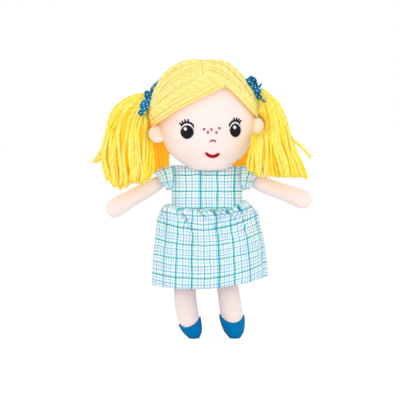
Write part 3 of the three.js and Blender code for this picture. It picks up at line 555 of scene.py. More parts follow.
felt, tree = new_material("blue_wool_felt")
coordinates = add_node(tree, "ShaderNodeTexCoord")
mottle = add_node(tree, "ShaderNodeTexNoise", {"Scale": 420, "Detail": 5, "Roughness": 0.65},
                  {"Vector": coordinates.outputs["Object"]})
tone = add_node(tree, "ShaderNodeMix",
                {"data_type": "RGBA", "A": linear("#0069a6"), "B": linear("#0086c4")},
                {"Factor": mottle.outputs["Fac"]})
nap = add_node(tree, "ShaderNodeTexNoise", {"Scale": 1900, "Detail": 6, "Roughness": 0.8},
               {"Vector": coordinates.outputs["Object"]})
bump = add_node(tree, "ShaderNodeBump", {"Strength": 0.5, "Distance": 0.3 * MM},
                {"Height": nap.outputs["Fac"]})
cloth = add_node(tree, "ShaderNodeBsdfPrincipled",
                 {"Roughness": 0.95, "Sheen Weight": 0.03, "Specular IOR Level": 0.05},
                 {"Base Color": tone.outputs["Result"], "Normal": bump.outputs[0]})
add_node(tree, "ShaderNodeOutputMaterial", None, {"Surface": cloth.outputs[0]})


def solid_sheet(piece, thickness, offset=0):
    """Gives a sheet its cloth's thickness."""
    bpy.context.view_layer.objects.active = piece
    wall = piece.modifiers.new("wall", "SOLIDIFY")
    wall.thickness = thickness * MM
    wall.offset = offset
    bpy.ops.object.modifier_apply(modifier=wall.name)
    return piece


for side, out in SIDES:
    height, slant, drop = shoe_edges[side]
    rows = smooth_rows(leg_rows(side, out, SHOE_GAP + SHOE_WALL / 2)[:FOOT_ROWS], 10)
    rows[:, 2] = np.maximum(rows[:, 2] - (SHOE_GAP + SHOE_WALL / 2), SHOE_WALL / 2)
    climb = np.maximum.accumulate(rows[:, 2] + np.arange(len(rows)) * 1e-6)
    points = []
    for i in range(SHOE_ROWS + 1):
        for j in range(SHOE_SIDES):
            turn = 2 * math.pi * j / SHOE_SIDES
            front = max(0, -math.sin(turn)) ** 1.6
            edge = height - drop * front + slant * math.cos(turn)
            h = SHOE_WALL / 2 + (edge - SHOE_WALL / 2) * (i / SHOE_ROWS)
            x, y, wide, deep = (float(np.interp(h, climb, rows[:, k])) for k in (0, 1, 3, 4))
            if i == 0:
                x, y, wide, deep = rows[0][0], rows[0][1], 0, 0
            points.append(place(x + wide * math.cos(turn), y + deep * math.sin(turn), h))
    shoe = tidied(new_piece(f"{side}_felt_shoe", points, grid_faces(SHOE_ROWS + 1, SHOE_SIDES, True)))
    solid_sheet(shoe, SHOE_WALL)
    shoe.data.materials.append(felt)
    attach(shoe, f"{side}_leg")
    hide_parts(f"{side}_shoe")

# Face: satin stitch, rows of thread laid side by side through the skin cloth. It is smooth and
# slightly shiny, and stands up in the middle of each shape. Places are shares of the head.

STITCH_DROP = 0.7
THREAD_RADIUS = 0.32
THREAD_PITCH = 0.42
THREAD_SIDES = 6
THREAD_SEED = 7

random.seed(THREAD_SEED)


def run_along(path):
    """The length run along a line at each of its points."""
    return np.concatenate([[0], np.cumsum(np.linalg.norm(np.diff(path, axis=0), axis=1))])


def tube_points(path, radii, ups, sides):
    """The rings of a tube along a path, and the length run at each ring."""
    path = np.asarray(path, float)
    steps = np.gradient(path, axis=0)
    along = steps / np.maximum(np.linalg.norm(steps, axis=1, keepdims=True), 1e-12)
    ups = np.broadcast_to(np.asarray(ups, float), path.shape)
    side = np.cross(along, ups)
    side /= np.maximum(np.linalg.norm(side, axis=1, keepdims=True), 1e-12)
    up = np.cross(side, along)
    turn = np.linspace(0, 2 * math.pi, sides, endpoint=False)
    r = np.broadcast_to(np.asarray(radii, float), len(path))[:, None]
    rings = path[:, None, :] + (r * np.cos(turn))[..., None] * side[:, None, :] \
        + (r * np.sin(turn))[..., None] * up[:, None, :]
    return rings, run_along(path)


def mark(piece, kind, values):
    """Gives each point of a piece a value that its material reads."""
    attribute = piece.data.attributes.new(kind, "FLOAT", "POINT")
    attribute.data.foreach_set("value", np.array(values, np.float32))


def tubes(name, paths, radii, ups, sides, painted_shade_values=None):
    """One piece made of many closed tubes. Each carries its own random shade, its length run and any painted
    shade values given.
    """
    points, faces, uvs, shades, painted_shade = [], [], [], [], []
    for index, path in enumerate(paths):
        rings, run = tube_points(path, radii[index], ups[index], sides)
        start = len(points)
        shade = random.random()
        count = len(rings)
        points.extend(rings.reshape(-1, 3))
        for i in range(count):
            for j in range(sides):
                uvs.append((run[i] / MM, j / sides))
                shades.append(shade)
                painted_shade.append(painted_shade_values[index][i] if painted_shade_values else 0)
        faces += [[start + k for k in face] for face in grid_faces(count, sides, True)]
        faces.append([start + j for j in range(sides)][::-1])
        faces.append([start + (count - 1) * sides + j for j in range(sides)])
    piece = new_piece(name, points, faces, uvs)
    mark(piece, "shade", shades)
    mark(piece, "deep", painted_shade)
    return piece


def on_face(x, h, lift):
    """The point on the front of the head at a place seen from the front, raised by a lift."""
    start = Vector(place(x, -3 * HEAD_DEPTH, h))
    hit, normal, _, _ = head_surface.ray_cast(start, Vector((0, 1, 0)))
    return np.array(hit + normal * lift * MM)


def embroidered(name, lines, nodes, material, lift, arch=0.35):
    """Satin stitches between pairs of face places, arched a little in the middle."""
    paths = []
    for (x0, h0), (x1, h1) in lines:
        path = []
        for t in np.linspace(0, 1, 7):
            rise = lift + arch * 4 * t * (1 - t)
            path.append(on_face(x0 + (x1 - x0) * t, h0 + (h1 - h0) * t, rise))
        paths.append(path)
    radii = [np.array([0.5, 0.9, 1, 1, 1, 0.9, 0.5]) * THREAD_RADIUS * MM] * len(paths)
    ups = [(0, -1, 0)] * len(paths)
    piece = tubes(name, paths, radii, ups, THREAD_SIDES)
    piece.data.materials.append(material)
    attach(piece, "head")
    if nodes:
        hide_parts(*nodes)


def embroidery_thread(name, colour, shade):
    """Rayon thread: smooth twisted fibre with a soft shine along its length."""
    material, tree = new_material(name)
    own = add_node(tree, "ShaderNodeAttribute", {"attribute_name": "shade"})
    tone = add_node(tree, "ShaderNodeMix",
                    {"data_type": "RGBA", "A": linear(colour), "B": linear(shade)},
                    {"Factor": own.outputs["Fac"]})
    flat = add_node(tree, "ShaderNodeUVMap", {"uv_map": "flat"})
    twist = add_node(tree, "ShaderNodeTexWave", {"Scale": 2.2, "Distortion": 0.4},
                     {"Vector": flat.outputs[0]})
    bump = add_node(tree, "ShaderNodeBump", {"Strength": 0.3, "Distance": 0.05 * MM},
                    {"Height": twist.outputs["Fac"]})
    thread = add_node(tree, "ShaderNodeBsdfPrincipled",
                      {"Roughness": 0.5, "Specular IOR Level": 0.12},
                      {"Base Color": tone.outputs["Result"], "Normal": bump.outputs[0]})
    add_node(tree, "ShaderNodeOutputMaterial", None, {"Surface": thread.outputs[0]})
    return material


black_thread = embroidery_thread("black_rayon_thread", "#141416", "#242427")
white_thread = embroidery_thread("white_rayon_thread", "#ffffff", "#f0f2f4")
red_thread = embroidery_thread("crimson_rayon_thread", "#c20a26", "#a80a20")
mauve_thread = embroidery_thread("mauve_rayon_thread", "#c75a7c", "#b04c6c")
grey_thread = embroidery_thread("grey_rayon_thread", "#c3c5ca", "#b2b4ba")


def oval_lines(x, h, wide, high):
    """Level stitches that fill an oval."""
    lines = []
    count = max(3, round(2 * high / THREAD_PITCH))
    for i in range(count):
        v = high * (2 * (i + 0.5) / count - 1)
        u = wide * math.sqrt(max(0, 1 - (v / high) ** 2))
        lines.append(((x - u, h + v), (x + u, h + v)))
    return lines


def head_place(across, up):
    """A place on the face in millimetres, from shares of the head's width and height."""
    return across * HEAD_WIDTH, CHIN_HEIGHT + up * HEAD_HEIGHT - STITCH_DROP


# Eyes: a white with a grey rim, a black iris with a white glint, an arch of thread that is thick in
# its middle, and lashes. The right eye is the rounder one.

IRIS_RADIUS = 7
GLINT_RADIUS = 1.7
WHITE_WIDTH = 7.2
WHITE_HEIGHT = 7.9
WHITE_RISE = 1.4
RIM_STEP = 4
RIM_END = 125
ARCH_WIDTH = 1.9
ARCH_STEP = 2.2
LASH_LENGTH = 4.7
LASH_SPREADS = (-0.6, -0.3, 0, 0.3, 0.6)
eyes = [
    ("right", (-0.212, 0.3605), 0.98, (-0.229, 0.3905), (47, 31, 13, -6), (-66, 56)),
    ("left", (0.301, 0.377), 0.82, (0.2905, 0.4045), (9, -9, -24, -38), (-50, 74)),
]
def rim_point(middle, narrow, turn, reach=0, spread=0):
    """A place off the rim of a white: turned from its top, outward, and to the side."""
    return (middle[0] - math.sin(turn) * (WHITE_WIDTH * narrow + reach) + spread * math.cos(turn),
            middle[1] + math.cos(turn) * (WHITE_HEIGHT + reach) + spread * math.sin(turn))


for side, middle, narrow, glint, lash_turns, (arch_start, arch_end) in eyes:
    x, h = head_place(*middle)
    white = (x, h + WHITE_RISE)
    white_lines = []
    count = round(2 * WHITE_WIDTH * narrow / THREAD_PITCH)
    for i in range(count):
        u = WHITE_WIDTH * narrow * (2 * (i + 0.5) / count - 1)
        v = WHITE_HEIGHT * math.sqrt(1 - (u / (WHITE_WIDTH * narrow)) ** 2)
        white_lines.append(((x + u, white[1] - 0.75 * v), (x + u, white[1] + v)))
    embroidered(f"{side}_eye_white_stitches", white_lines, [f"{side}_eye_white"], white_thread,
                0.1, 0.15)
    embroidered(f"{side}_iris_stitches", oval_lines(x, h, IRIS_RADIUS * narrow, IRIS_RADIUS),
                [f"{side}_iris"], black_thread, 0.55)
    embroidered(f"{side}_glint_stitches", oval_lines(*head_place(*glint), GLINT_RADIUS, GLINT_RADIUS),
                [f"{side}_eye_glint"], white_thread, 1.15, 0.1)
    lash_lines = []
    for angle in np.arange(arch_start, arch_end, ARCH_STEP):
        turn = math.radians(angle)
        near_end = min(angle - arch_start, arch_end - angle)
        thick = ARCH_WIDTH * min(1, 0.35 + 0.05 * near_end)
        lash_lines.append((rim_point(white, narrow, turn), rim_point(white, narrow, turn, thick)))
    for angle in lash_turns:
        turn = math.radians(angle)
        for spread in LASH_SPREADS:
            reach = LASH_LENGTH * (1 - 0.15 * abs(spread))
            lash_lines.append((rim_point(white, narrow, turn, 0, spread),
                               rim_point(white, narrow, turn, reach, 0.75 * spread)))
    rim_lines = []
    for angle in [*range(-RIM_END, arch_start, RIM_STEP), *range(arch_end, RIM_END, RIM_STEP)]:
        ends = []
        for turn in (math.radians(angle), math.radians(angle + RIM_STEP)):
            rim_x, rim_h = rim_point(white, narrow, turn)
            ends.append((rim_x - 0.2 * math.sin(turn), rim_h))
        rim_lines.append(ends)
    embroidered(f"{side}_eye_rim_stitches", rim_lines, [], grey_thread, 0.2, 0.05)
    embroidered(f"{side}_lash_stitches", lash_lines, [f"{side}_lashes"], black_thread,
                0.3, 0.2)

# Freckles, mouth and nose: round dots and two bent bands of thread.

FRECKLE_RADIUS = 1.35
MOUTH_WIDTH = 3.4
NOSE_WIDTH = 1.9
freckle_shares = [(-0.032, 0.385), (0.046, 0.383), (0.131, 0.395), (0.009, 0.357), (0.1, 0.355)]
for number, shares in enumerate(freckle_shares, 1):
    dot_lines = oval_lines(*head_place(*shares), FRECKLE_RADIUS, FRECKLE_RADIUS)
    embroidered(f"freckle_stitches_{number}", dot_lines, [f"freckle_{number}"], mauve_thread,
                0.15)


def band_lines(shares, width):
    """Stitches across a bent band through three face places, narrower at its ends."""
    (x0, h0), (x1, h1), (x2, h2) = [head_place(*share) for share in shares]
    cx, ch = 2 * x1 - (x0 + x2) / 2, 2 * h1 - (h0 + h2) / 2
    lines = []
    count = round(math.dist((x0, h0), (x2, h2)) * 1.15 / THREAD_PITCH)
    for t in np.linspace(0, 1, count):
        x = (1 - t) ** 2 * x0 + 2 * t * (1 - t) * cx + t * t * x2
        h = (1 - t) ** 2 * h0 + 2 * t * (1 - t) * ch + t * t * h2
        dx = 2 * (1 - t) * (cx - x0) + 2 * t * (x2 - cx)
        dh = 2 * (1 - t) * (ch - h0) + 2 * t * (h2 - ch)
        size = math.hypot(dx, dh)
        half = width / 2 * (0.6 + 0.4 * min(1, 9 * t, 9 * (1 - t)))
        nx, nh = -dh / size * half, dx / size * half
        lines.append(((x - nx, h - nh), (x + nx, h + nh)))
    return lines


embroidered("mouth_stitches", band_lines([(-0.016, 0.17), (0.056, 0.137), (0.13, 0.164)], MOUTH_WIDTH),
            ["mouth_stitch"], red_thread, 0.15)
embroidered("nose_stitches", band_lines([(0.03, 0.27), (0.062, 0.283), (0.094, 0.27)], NOSE_WIDTH),
            ["nose_stitch"], mauve_thread, 0.15)

# Crown hair: thin pale yarn laid side by side over the head. It is sewn down along a parting, and
# swept from there to each side. The fringe starts at the right of the parting and falls across the
# forehead. Guides are points on the head, seen from the front unless they give a depth too.

CROWN_RADIUS = 0.95
CROWN_PITCH = 1.75
SUNKEN_SHARE = 0.28
hair_outline = [
    (298.6, 0, 0, 0), (297.8, -14, 11, 11), (296.2, -24, 19.5, 19), (292.5, -33.5, 26, 26),
    (287, -41.5, 32, 31.5), (279, -48.6, 39.2, 36.2), (270, -54.8, 46.3, 38.8), (259, -60.4, 52, 40.4),
    (246, -62.4, 53.8, 41), (232, -61.4, 54, 40.8), (218, -57, 52.5, 39), (206, -49, 46, 35),
    (196, -38, 37, 27), (187, -24, 24, 18), (183, 0, 0, 0),
]
crown_rows = [
    ((left + right) / 2, HEAD_Y, h, (right - left) / 2, deep, 180)
    for h, left, right, deep in hair_outline
]
back_rows = crown_rows[:9] + [
    (-3.4, 0, 232, 58.4, 38.5, 180), (-3.6, 5, 216, 57, 33, 180), (-3.6, 10, 202, 53, 27, 180),
    (-3.6, 14, 191, 48, 21, 180), (-3.6, 16, 184, 42, 17, 180), (-3.6, 16, 183, 0, 0, 180),
]
fringe_edge = np.array([
    (-70, 224), (-61, 226.5), (-53, 230.4), (-33.4, 242.3), (-14.7, 252), (2.8, 260.8), (20.3, 268.5),
    (35.7, 254.3), (44.5, 245.7), (53.2, 236.8), (70, 232),
])
hem_line = np.array([
    (-60, 204), (-45, 205), (-32, 203), (-16, 197), (-2, 191), (12, 197), (26, 203), (39, 205), (54, 204),
])
YARN_TWIST = 9
YARN_PLIES = 3
# How strongly yarn that lies deep glows orange: painted light.
PAINTED_GLOW = 0.3


def crown_yarn(name, light, dark, groove_shade, deep):
    """Soft spun yarn with fine twisted fibres, painted darker in its grooves as shade. Where it lies deep, it
    is painted orange as shade and glows faintly, painted light.
    """
    material, tree = new_material(name)
    own = add_node(tree, "ShaderNodeAttribute", {"attribute_name": "shade"})
    painted_shade = add_node(tree, "ShaderNodeAttribute", {"attribute_name": "deep"})
    flat = add_node(tree, "ShaderNodeUVMap", {"uv_map": "flat"})
    parts = add_node(tree, "ShaderNodeSeparateXYZ", None, {0: flat.outputs[0]})
    along = add_node(tree, "ShaderNodeMath", {"operation": "MULTIPLY", 1: 1 / YARN_TWIST},
                     {0: parts.outputs["X"]})
    round_ply = add_node(tree, "ShaderNodeMath", {"operation": "MULTIPLY_ADD", 1: YARN_PLIES},
                         {0: parts.outputs["Y"], 2: along.outputs[0]})
    turned = add_node(tree, "ShaderNodeMath", {"operation": "MULTIPLY", 1: 2 * math.pi},
                      {0: round_ply.outputs[0]})
    ply = add_node(tree, "ShaderNodeMath", {"operation": "SINE"}, {0: turned.outputs[0]})
    tone = add_node(tree, "ShaderNodeMix",
                    {"data_type": "RGBA", "A": linear(light), "B": linear(dark)},
                    {"Factor": own.outputs["Fac"]})
    # The twist's grooves take the groove colour: painted shade.
    low = add_node(tree, "ShaderNodeMapRange", {"From Min": -0.1, "From Max": -1, "To Max": 0.45},
                   {"Value": ply.outputs[0]})
    groove_shaded = add_node(tree, "ShaderNodeMix", {"data_type": "RGBA", "B": linear(groove_shade)},
                       {"Factor": low.outputs[0], "A": tone.outputs["Result"]})
    # The deep value mixes in the orange deep colour: painted shade.
    final = add_node(tree, "ShaderNodeMix", {"data_type": "RGBA", "B": linear(deep)},
                     {"Factor": painted_shade.outputs["Fac"], "A": groove_shaded.outputs["Result"]})
    coordinates = add_node(tree, "ShaderNodeTexCoord")
    fuzz = add_node(tree, "ShaderNodeTexNoise", {"Scale": 1500, "Detail": 4, "Roughness": 0.7},
                    {"Vector": coordinates.outputs["Object"]})
    height = add_node(tree, "ShaderNodeMath", {"operation": "MULTIPLY_ADD", 1: 0.5},
                      {0: ply.outputs[0], 2: fuzz.outputs["Fac"]})
    bump = add_node(tree, "ShaderNodeBump", {"Strength": 0.6, "Distance": 0.3 * MM},
                    {"Height": height.outputs[0]})
    # Yarn that lies deep glows faintly orange: painted light.
    painted_glow = add_node(tree, "ShaderNodeMath", {"operation": "MULTIPLY", 1: PAINTED_GLOW},
                      {0: painted_shade.outputs["Fac"]})
    yarn = add_node(tree, "ShaderNodeBsdfPrincipled",
                    {"Roughness": 0.85, "Specular IOR Level": 0.08, "Emission Color": linear("#ffc000"),
                     "Subsurface Weight": 0.12, "Subsurface Scale": 0.002},
                    {"Base Color": final.outputs["Result"], "Normal": bump.outputs[0],
                     "Emission Strength": painted_glow.outputs[0]})
    add_node(tree, "ShaderNodeOutputMaterial", None, {"Surface": yarn.outputs[0]})
    return material


# Its groove colour and its orange deep colour are painted shade.
head_yarn = crown_yarn("pale_yellow_spun_yarn", "#fff8ac", "#fff09a", "#fad95c", "#ffac14")


def keep_faces(piece, wanted):
    """Cuts away the faces whose middle, in millimetres of the frame, isn't wanted."""
    bm = bmesh.new()
    bm.from_mesh(piece.data)
    cut = [face for face in bm.faces if not wanted(*(face.calc_center_median() / MM))]
    bmesh.ops.delete(bm, geom=cut, context="FACES")
    bm.to_mesh(piece.data)
    bm.free()
    return piece


def read_off(table, x):
    """What the second column of a table says at a value of its first."""
    return float(np.interp(x, table[:, 0], table[:, 1]))


front_form = stuffed("front_form", crown_rows, 96, 12)
back_form = stuffed("back_form", back_rows, 96, 12)
front_surface = surface_of(front_form)
back_surface = surface_of(back_form)
bpy.data.objects.remove(front_form)
bpy.data.objects.remove(back_form)

BASE_WALL = 1.5
INNER_SHADE = 0.8
BACK_EDGE = 232
HAIR_MIDDLE = Vector(place(-1.5, HEAD_Y, 243))


def before(x, y, h):
    """Whether a place belongs to the front of the hair, above the edge of the fringe."""
    return y < 0 and h > read_off(fringe_edge, x) - WAIST_HEIGHT + 2


def behind(x, y, h):
    """Whether a place belongs to the back of the hair, above its lower edge."""
    return y > -2 and h > (read_off(hem_line, x) if y > 6 else BACK_EDGE) - WAIST_HEIGHT


def shade_behind_face(x, y, h):
    """How far a place of the back hair lies in the shade behind the face, from 0 to 1: the orange painted
    shade it gets.
    """
    return min(1, max(0, (14 - y) / 6)) * min(1, max(0, (238 - h - WAIST_HEIGHT) / 8))


for name, rows, wanted, nodes in [
    ("crown_hair_base", crown_rows, before, ["left_fringe", "right_fringe"]),
    ("back_hair_base", back_rows, behind, ["hair_cap"]),
]:
    base = solid_sheet(keep_faces(stuffed(name, rows, 96, 12), wanted), BASE_WALL, -1)
    mark(base, "shade", [2] * len(base.data.vertices))
    # The inner side of the hair and the back hair behind the face get the deep value: orange painted shade.
    inner = [v.normal.dot(v.co - HAIR_MIDDLE) < 0 for v in base.data.vertices]
    mark(base, "deep", [
        max(shade_behind_face(*(v.co / MM)), INNER_SHADE * own) for v, own in zip(base.data.vertices, inner)
    ])
    base.data.materials.append(head_yarn)
    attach(base, "head")
    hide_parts(*nodes)


def on_form(surface, point, lift):
    """A point moved onto a form, along the line from the middle of the head, and lifted off it."""
    away = (Vector(point) - HAIR_MIDDLE).normalized()
    hit, normal, _, _ = surface.ray_cast(HAIR_MIDDLE + away * 0.3, -away)
    return np.array(hit + away * lift * MM), np.array(away)


def evened(path, count):
    """The same line with its points spread evenly."""
    run = run_along(path)
    spread = np.linspace(0, run[-1], count)
    return np.column_stack([np.interp(spread, run, path[:, k]) for k in range(3)])


GUIDE_POINTS = 24


def guide(points):
    """A smooth guide line; a point without a depth is found on the front of the hair."""
    full = []
    for point in points:
        if len(point) == 3:
            full.append(place(*point))
            continue
        x, h = point
        hit, _, _, _ = front_surface.ray_cast(Vector(place(x, -200, h)), Vector((0, 1, 0)))
        full.append(np.array(hit) if hit else place(x, 0, h))
    return evened(smooth_rows(full, 12), GUIDE_POINTS)


def between(guides, pitch):
    """Lines side by side, one pitch apart, that pass smoothly from each guide to the next."""
    flat = np.array([one.ravel() for one in guides])
    dense = smooth_rows(flat, 20)
    gaps = [np.linalg.norm((b - a).reshape(-1, 3), axis=1).max() for a, b in zip(dense, dense[1:])]
    run = np.concatenate([[0], np.cumsum(gaps)])
    places = np.linspace(0, run[-1], max(2, round(run[-1] / (pitch * MM))))
    lines = np.column_stack([np.interp(places, run, dense[:, k]) for k in range(dense.shape[1])])
    return lines.reshape(len(places), -1, 3)


def strands(name, surface, guides, pitch, radius, tuck, painted_shade_of=None):
    """A family of yarns that lie on a form between guides, and dip into it at both ends by the tuck."""
    paths, ups, radii, painted_shade_values = [], [], [], []
    for line in between([guide(points) for points in guides], pitch):
        wave = random.uniform(0, 6.28)
        sunken = random.random() < SUNKEN_SHARE
        rise = radius * (-0.55 if sunken else random.uniform(0.3, 0.9))
        path, out = [], []
        for i, point in enumerate(line):
            s = i / (len(line) - 1)
            dip = tuck[0] * math.exp(-s / 0.03) + tuck[1] * math.exp(-(1 - s) / 0.05)
            lift = rise + 0.25 * radius * math.sin(wave + 9 * s) - 2.2 * radius * dip
            point, away = on_form(surface, point, lift)
            path.append(point)
            out.append(away)
        paths.append(np.array(path))
        ups.append(np.array(out))
        radii.append(radius * MM * random.uniform(0.88, 1.1))
        # Sunken yarns are painted partway orange as shade between the yarns, and so are yarns in the shade
        # behind the face.
        dark = 0.3 if sunken else 0
        painted_shade_values.append([max(dark, painted_shade_of(*(p / MM)) if painted_shade_of else 0) for p in path])
    piece = tubes(name, paths, radii, ups, YARN_SIDES, painted_shade_values)
    piece.data.materials.append(head_yarn)
    return piece


BACK_PITCH = 2.4
BACK_RADIUS = 1.35
FRONT_TUCK = (1.6, 0.3)
BACK_TUCK = (1, 0.4)
YARN_SIDES = 8
fringe = strands("fringe_yarn", front_surface, [
    [(-5.6, 1, 299), (-22, 1, 297), (-40, 1, 288.5), (-53, 1, 272), (-61, 1, 258), (-62.5, 1, 252)],
    [(-5, 294.5), (-24, 291.5), (-39, 283), (-50, 270), (-58, 256), (-62, -3, 247)],
    [(-4.4, 287.5), (-22, 283), (-38, 273), (-50, 261), (-58, 249.5), (-61.5, -4, 243)],
    [(-4.3, 281.2), (-18, 275.5), (-33, 267), (-47, 258), (-57, 247), (-61, -5, 239)],
    [(8, 280.5), (-8, 272), (-28, 261), (-42, 252), (-54, 243.5), (-60.5, -6, 236)],
    [(16, 275.5), (-2, 265.3), (-22, 255), (-40, 245), (-53, 236.5), (-60, -8, 231)],
    [(20.8, 269.4), (3.1, 261.6), (-14.7, 252.8), (-33.4, 243.1), (-50, 232.8), (-59, -12, 227.5)],
], CROWN_PITCH, CROWN_RADIUS, FRONT_TUCK)
side_sweep = strands("side_sweep_yarn", front_surface, [
    [(-5.4, 1, 299), (10, 1, 298), (22, 1, 295), (33, 1, 286), (43, 1, 274), (52, 1, 261)],
    [(-4.9, 294.5), (12, 292.3), (25, 284), (37, 270), (47, 256), (54, -3, 248)],
    [(-4.2, 287), (9, 285), (24, 276), (36, 263), (47, 250), (54.5, -4, 242)],
    [(8, 281), (19, 275), (30, 264.5), (39.5, 254.5), (48, 246), (53.8, -4, 241)],
    [(16.5, 275), (25.5, 266.8), (33.5, 258.3), (41.5, 250), (50, 242), (53.5, -5, 239)],
    [(20.8, 269.4), (28, 262.6), (35.7, 255.1), (44.5, 246.5), (49, 241.5), (53, -8, 237)],
], CROWN_PITCH, CROWN_RADIUS, FRONT_TUCK)
back_right = strands("back_yarn_right", back_surface, [
    [(-4.6, 2, 300), (-25, 2, 298), (-43, 2, 288), (-54, 2, 275), (-61, 2, 262), (-62, 2, 258)],
    [(-4.6, 22, 292), (-25, 22, 288), (-42, 18, 279), (-54, 12, 268), (-60, 8, 262), (-63, 5, 258)],
    [(-4.6, 36, 276), (-22, 36, 272), (-40, 28, 265), (-52, 19, 260), (-60, 12, 256), (-62, 7, 255)],
    [(-4.6, 41, 256), (-20, 40, 252), (-38, 34, 248), (-52, 24, 247), (-59, 15, 249), (-62, 9, 251)],
    [(-4.6, 42, 236), (-14, 42, 228), (-30, 38, 220), (-44, 30, 213), (-52, 22, 206), (-56, 16, 202)],
    [(-4.6, 42, 232), (-8, 42, 226), (-14, 41, 219), (-22, 38, 211), (-28, 35, 205), (-32, 31, 201)],
    [(-1, 42, 232), (-1, 42, 226), (-1, 42, 216), (-1, 40, 206), (-1, 36, 197), (-1, 32, 190)],
], BACK_PITCH, BACK_RADIUS, BACK_TUCK, shade_behind_face)
back_left = strands("back_yarn_left", back_surface, [
    [(-4.2, 2, 300), (12, 2, 300), (24, 2, 297), (37, 2, 286), (47, 2, 275), (55, 2, 265)],
    [(-4.2, 22, 292), (16, 22, 289), (32, 18, 280), (45, 12, 272), (52, 8, 267), (56, 5, 265)],
    [(-4.2, 36, 276), (14, 36, 273), (31, 28, 268), (43, 19, 265), (51, 12, 263), (56, 7, 263)],
    [(-4.2, 41, 256), (12, 40, 254), (30, 34, 252), (43, 24, 253), (51, 15, 256), (55, 9, 259)],
    [(-4.2, 42, 236), (8, 42, 228), (24, 38, 220), (38, 30, 213), (46, 22, 206), (50, 16, 202)],
    [(-4.2, 42, 232), (2, 42, 226), (8, 41, 219), (16, 38, 211), (22, 35, 205), (26, 31, 201)],
    [(-2, 42, 232), (-2, 42, 226), (-2, 42, 216), (-2, 40, 206), (-2, 36, 197), (-2, 32, 190)],
], BACK_PITCH, BACK_RADIUS, BACK_TUCK, shade_behind_face)

# Parting: a row of stitches that holds the yarn down.

PARTING_RADIUS = 0.6
PARTING_LIFT = 0.9
parting_line = guide([(-6.4, 1, 299.2), (-6.2, -8, 298.4), (-5.6, 294), (-4.7, 288), (-4.3, 281.5)])
parting_places = [on_form(front_surface, point, PARTING_LIFT) for point in parting_line]
parting_points, parting_ups = zip(*parting_places)
# The parting stitches are painted partway orange, as the shade along the parting.
parting = tubes("parting_stitches", [parting_points], [PARTING_RADIUS * MM], [parting_ups], YARN_SIDES,
                [[0.45] * GUIDE_POINTS])
parting.data.materials.append(head_yarn)
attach(parting, "head")
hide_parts("parting_seam")

# Nape: the lowest yarns of the back hang straight down behind the ears and the cheeks, in two layers.
# The front layer is painted nearly full orange as shade, the back layer only a little.

NAPE_PITCH = 2.2
NAPE_LAYER = 2.4
nape_guides = {
    "right": [[(-57, 8, 232), (-58.5, 10, 215), (-58.5, 13, 197), (-57.5, 17, 180)],
              [(-48, 12, 226), (-50.5, 13, 212), (-50.5, 15, 197), (-49, 18, 180)],
              [(-34, 14, 218), (-38.5, 14, 206), (-42, 15, 196), (-41.5, 18, 180)]],
    "left": [[(50, 8, 232), (52, 10, 215), (50, 13, 197), (47, 17, 180)],
             [(44, 12, 226), (45, 13, 212), (41, 15, 197), (38, 18, 180)],
             [(34, 14, 216), (34, 14, 206), (31, 15, 196), (28, 18, 181)]],
}
nape_paths, nape_painted_shade = [], []
for guides in nape_guides.values():
    for layer in (0, 1):
        for line in between([guide(points) for points in guides], NAPE_PITCH):
            aside = random.uniform(-0.7, 0.7)
            shift = np.array((aside, NAPE_LAYER * layer + random.uniform(-0.6, 0.6), 0)) * MM
            longer = np.array((1, 1, random.uniform(0.95, 1.05)))
            nape_paths.append(line[0] + (line - line[0]) * longer + shift)
            # Front layer: nearly full orange painted shade; back layer: little.
            nape_painted_shade.append([random.uniform(0.8, 1) - 0.75 * layer] * len(line))
nape = tubes("nape_yarn", nape_paths, [BACK_RADIUS * MM] * len(nape_paths),
             [(0, -1, 0)] * len(nape_paths), YARN_SIDES, nape_painted_shade)
nape.data.materials.append(head_yarn)
for piece in (fringe, side_sweep, back_right, back_left, nape):
    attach(piece, "head")

# Pigtails: thick three-ply yarn, tied at each side of the head. It rises a little from the tie,
# falls in front of the arm and ends in cut, frayed tips. Rows are the bundle's middle outward,
# backward and downward from the tie, its half width and half depth, as shares, and its heading.

TIE_RADIUS = 4.2
YARN_RADIUS = 1.6
YARN_COUNT = 105
YARN_POINTS = 40
CORE_SHARE = 0.88
CORE_START = 7
pigtails = {
    "right": ((-60.96, 2, 258.3), 88, [
        (3, 2, 0, 5.5, 5.5, 96), (6.5, 2, 2.5, 9, 8, 115), (13.5, 0, 10.5, 15.8, 10.5, 140),
        (21, -5, 22, 22.5, 13, 163), (23.5, -12, 36, 24.3, 15.5, 176), (24.3, -22, 50, 26.8, 17.5, 180),
        (24.2, -27, 64, 28, 16.5, 180), (23.2, -29.5, 77, 26.8, 14.5, 180), (23.5, -30.5, 88, 24, 12, 180),
        (24.5, -30.5, 99, 21, 10, 180),
    ]),
    "left": ((54.8, 2, 265.6), 86, [
        (1, 2, 0.8, 5.5, 5.5, 100), (3.5, 2, 4.5, 8, 7.5, 118), (6.8, 1, 11, 10.7, 9.5, 142),
        (10.4, -4, 20.5, 14.4, 12, 160), (13.4, -11, 32, 17, 14.5, 174), (14, -20, 43, 19.6, 17.5, 180),
        (14.4, -26, 55, 22.6, 17, 180), (15.8, -31, 67, 26.5, 16, 180), (17.6, -33.5, 79, 30, 13.5, 180),
        (19.5, -33.5, 93, 32, 11, 180),
    ]),
}
cut_lines = {
    "right": [(-104, 169), (-100, 164), (-94, 159.5), (-86, 162.5), (-76, 166), (-68, 165.5), (-60, 172),
              (-55, 178)],
    "left": [(42, 183), (49, 176), (58, 171.5), (70, 168.5), (82, 169), (92, 168.5), (101, 166.5),
             (108, 172)],
}
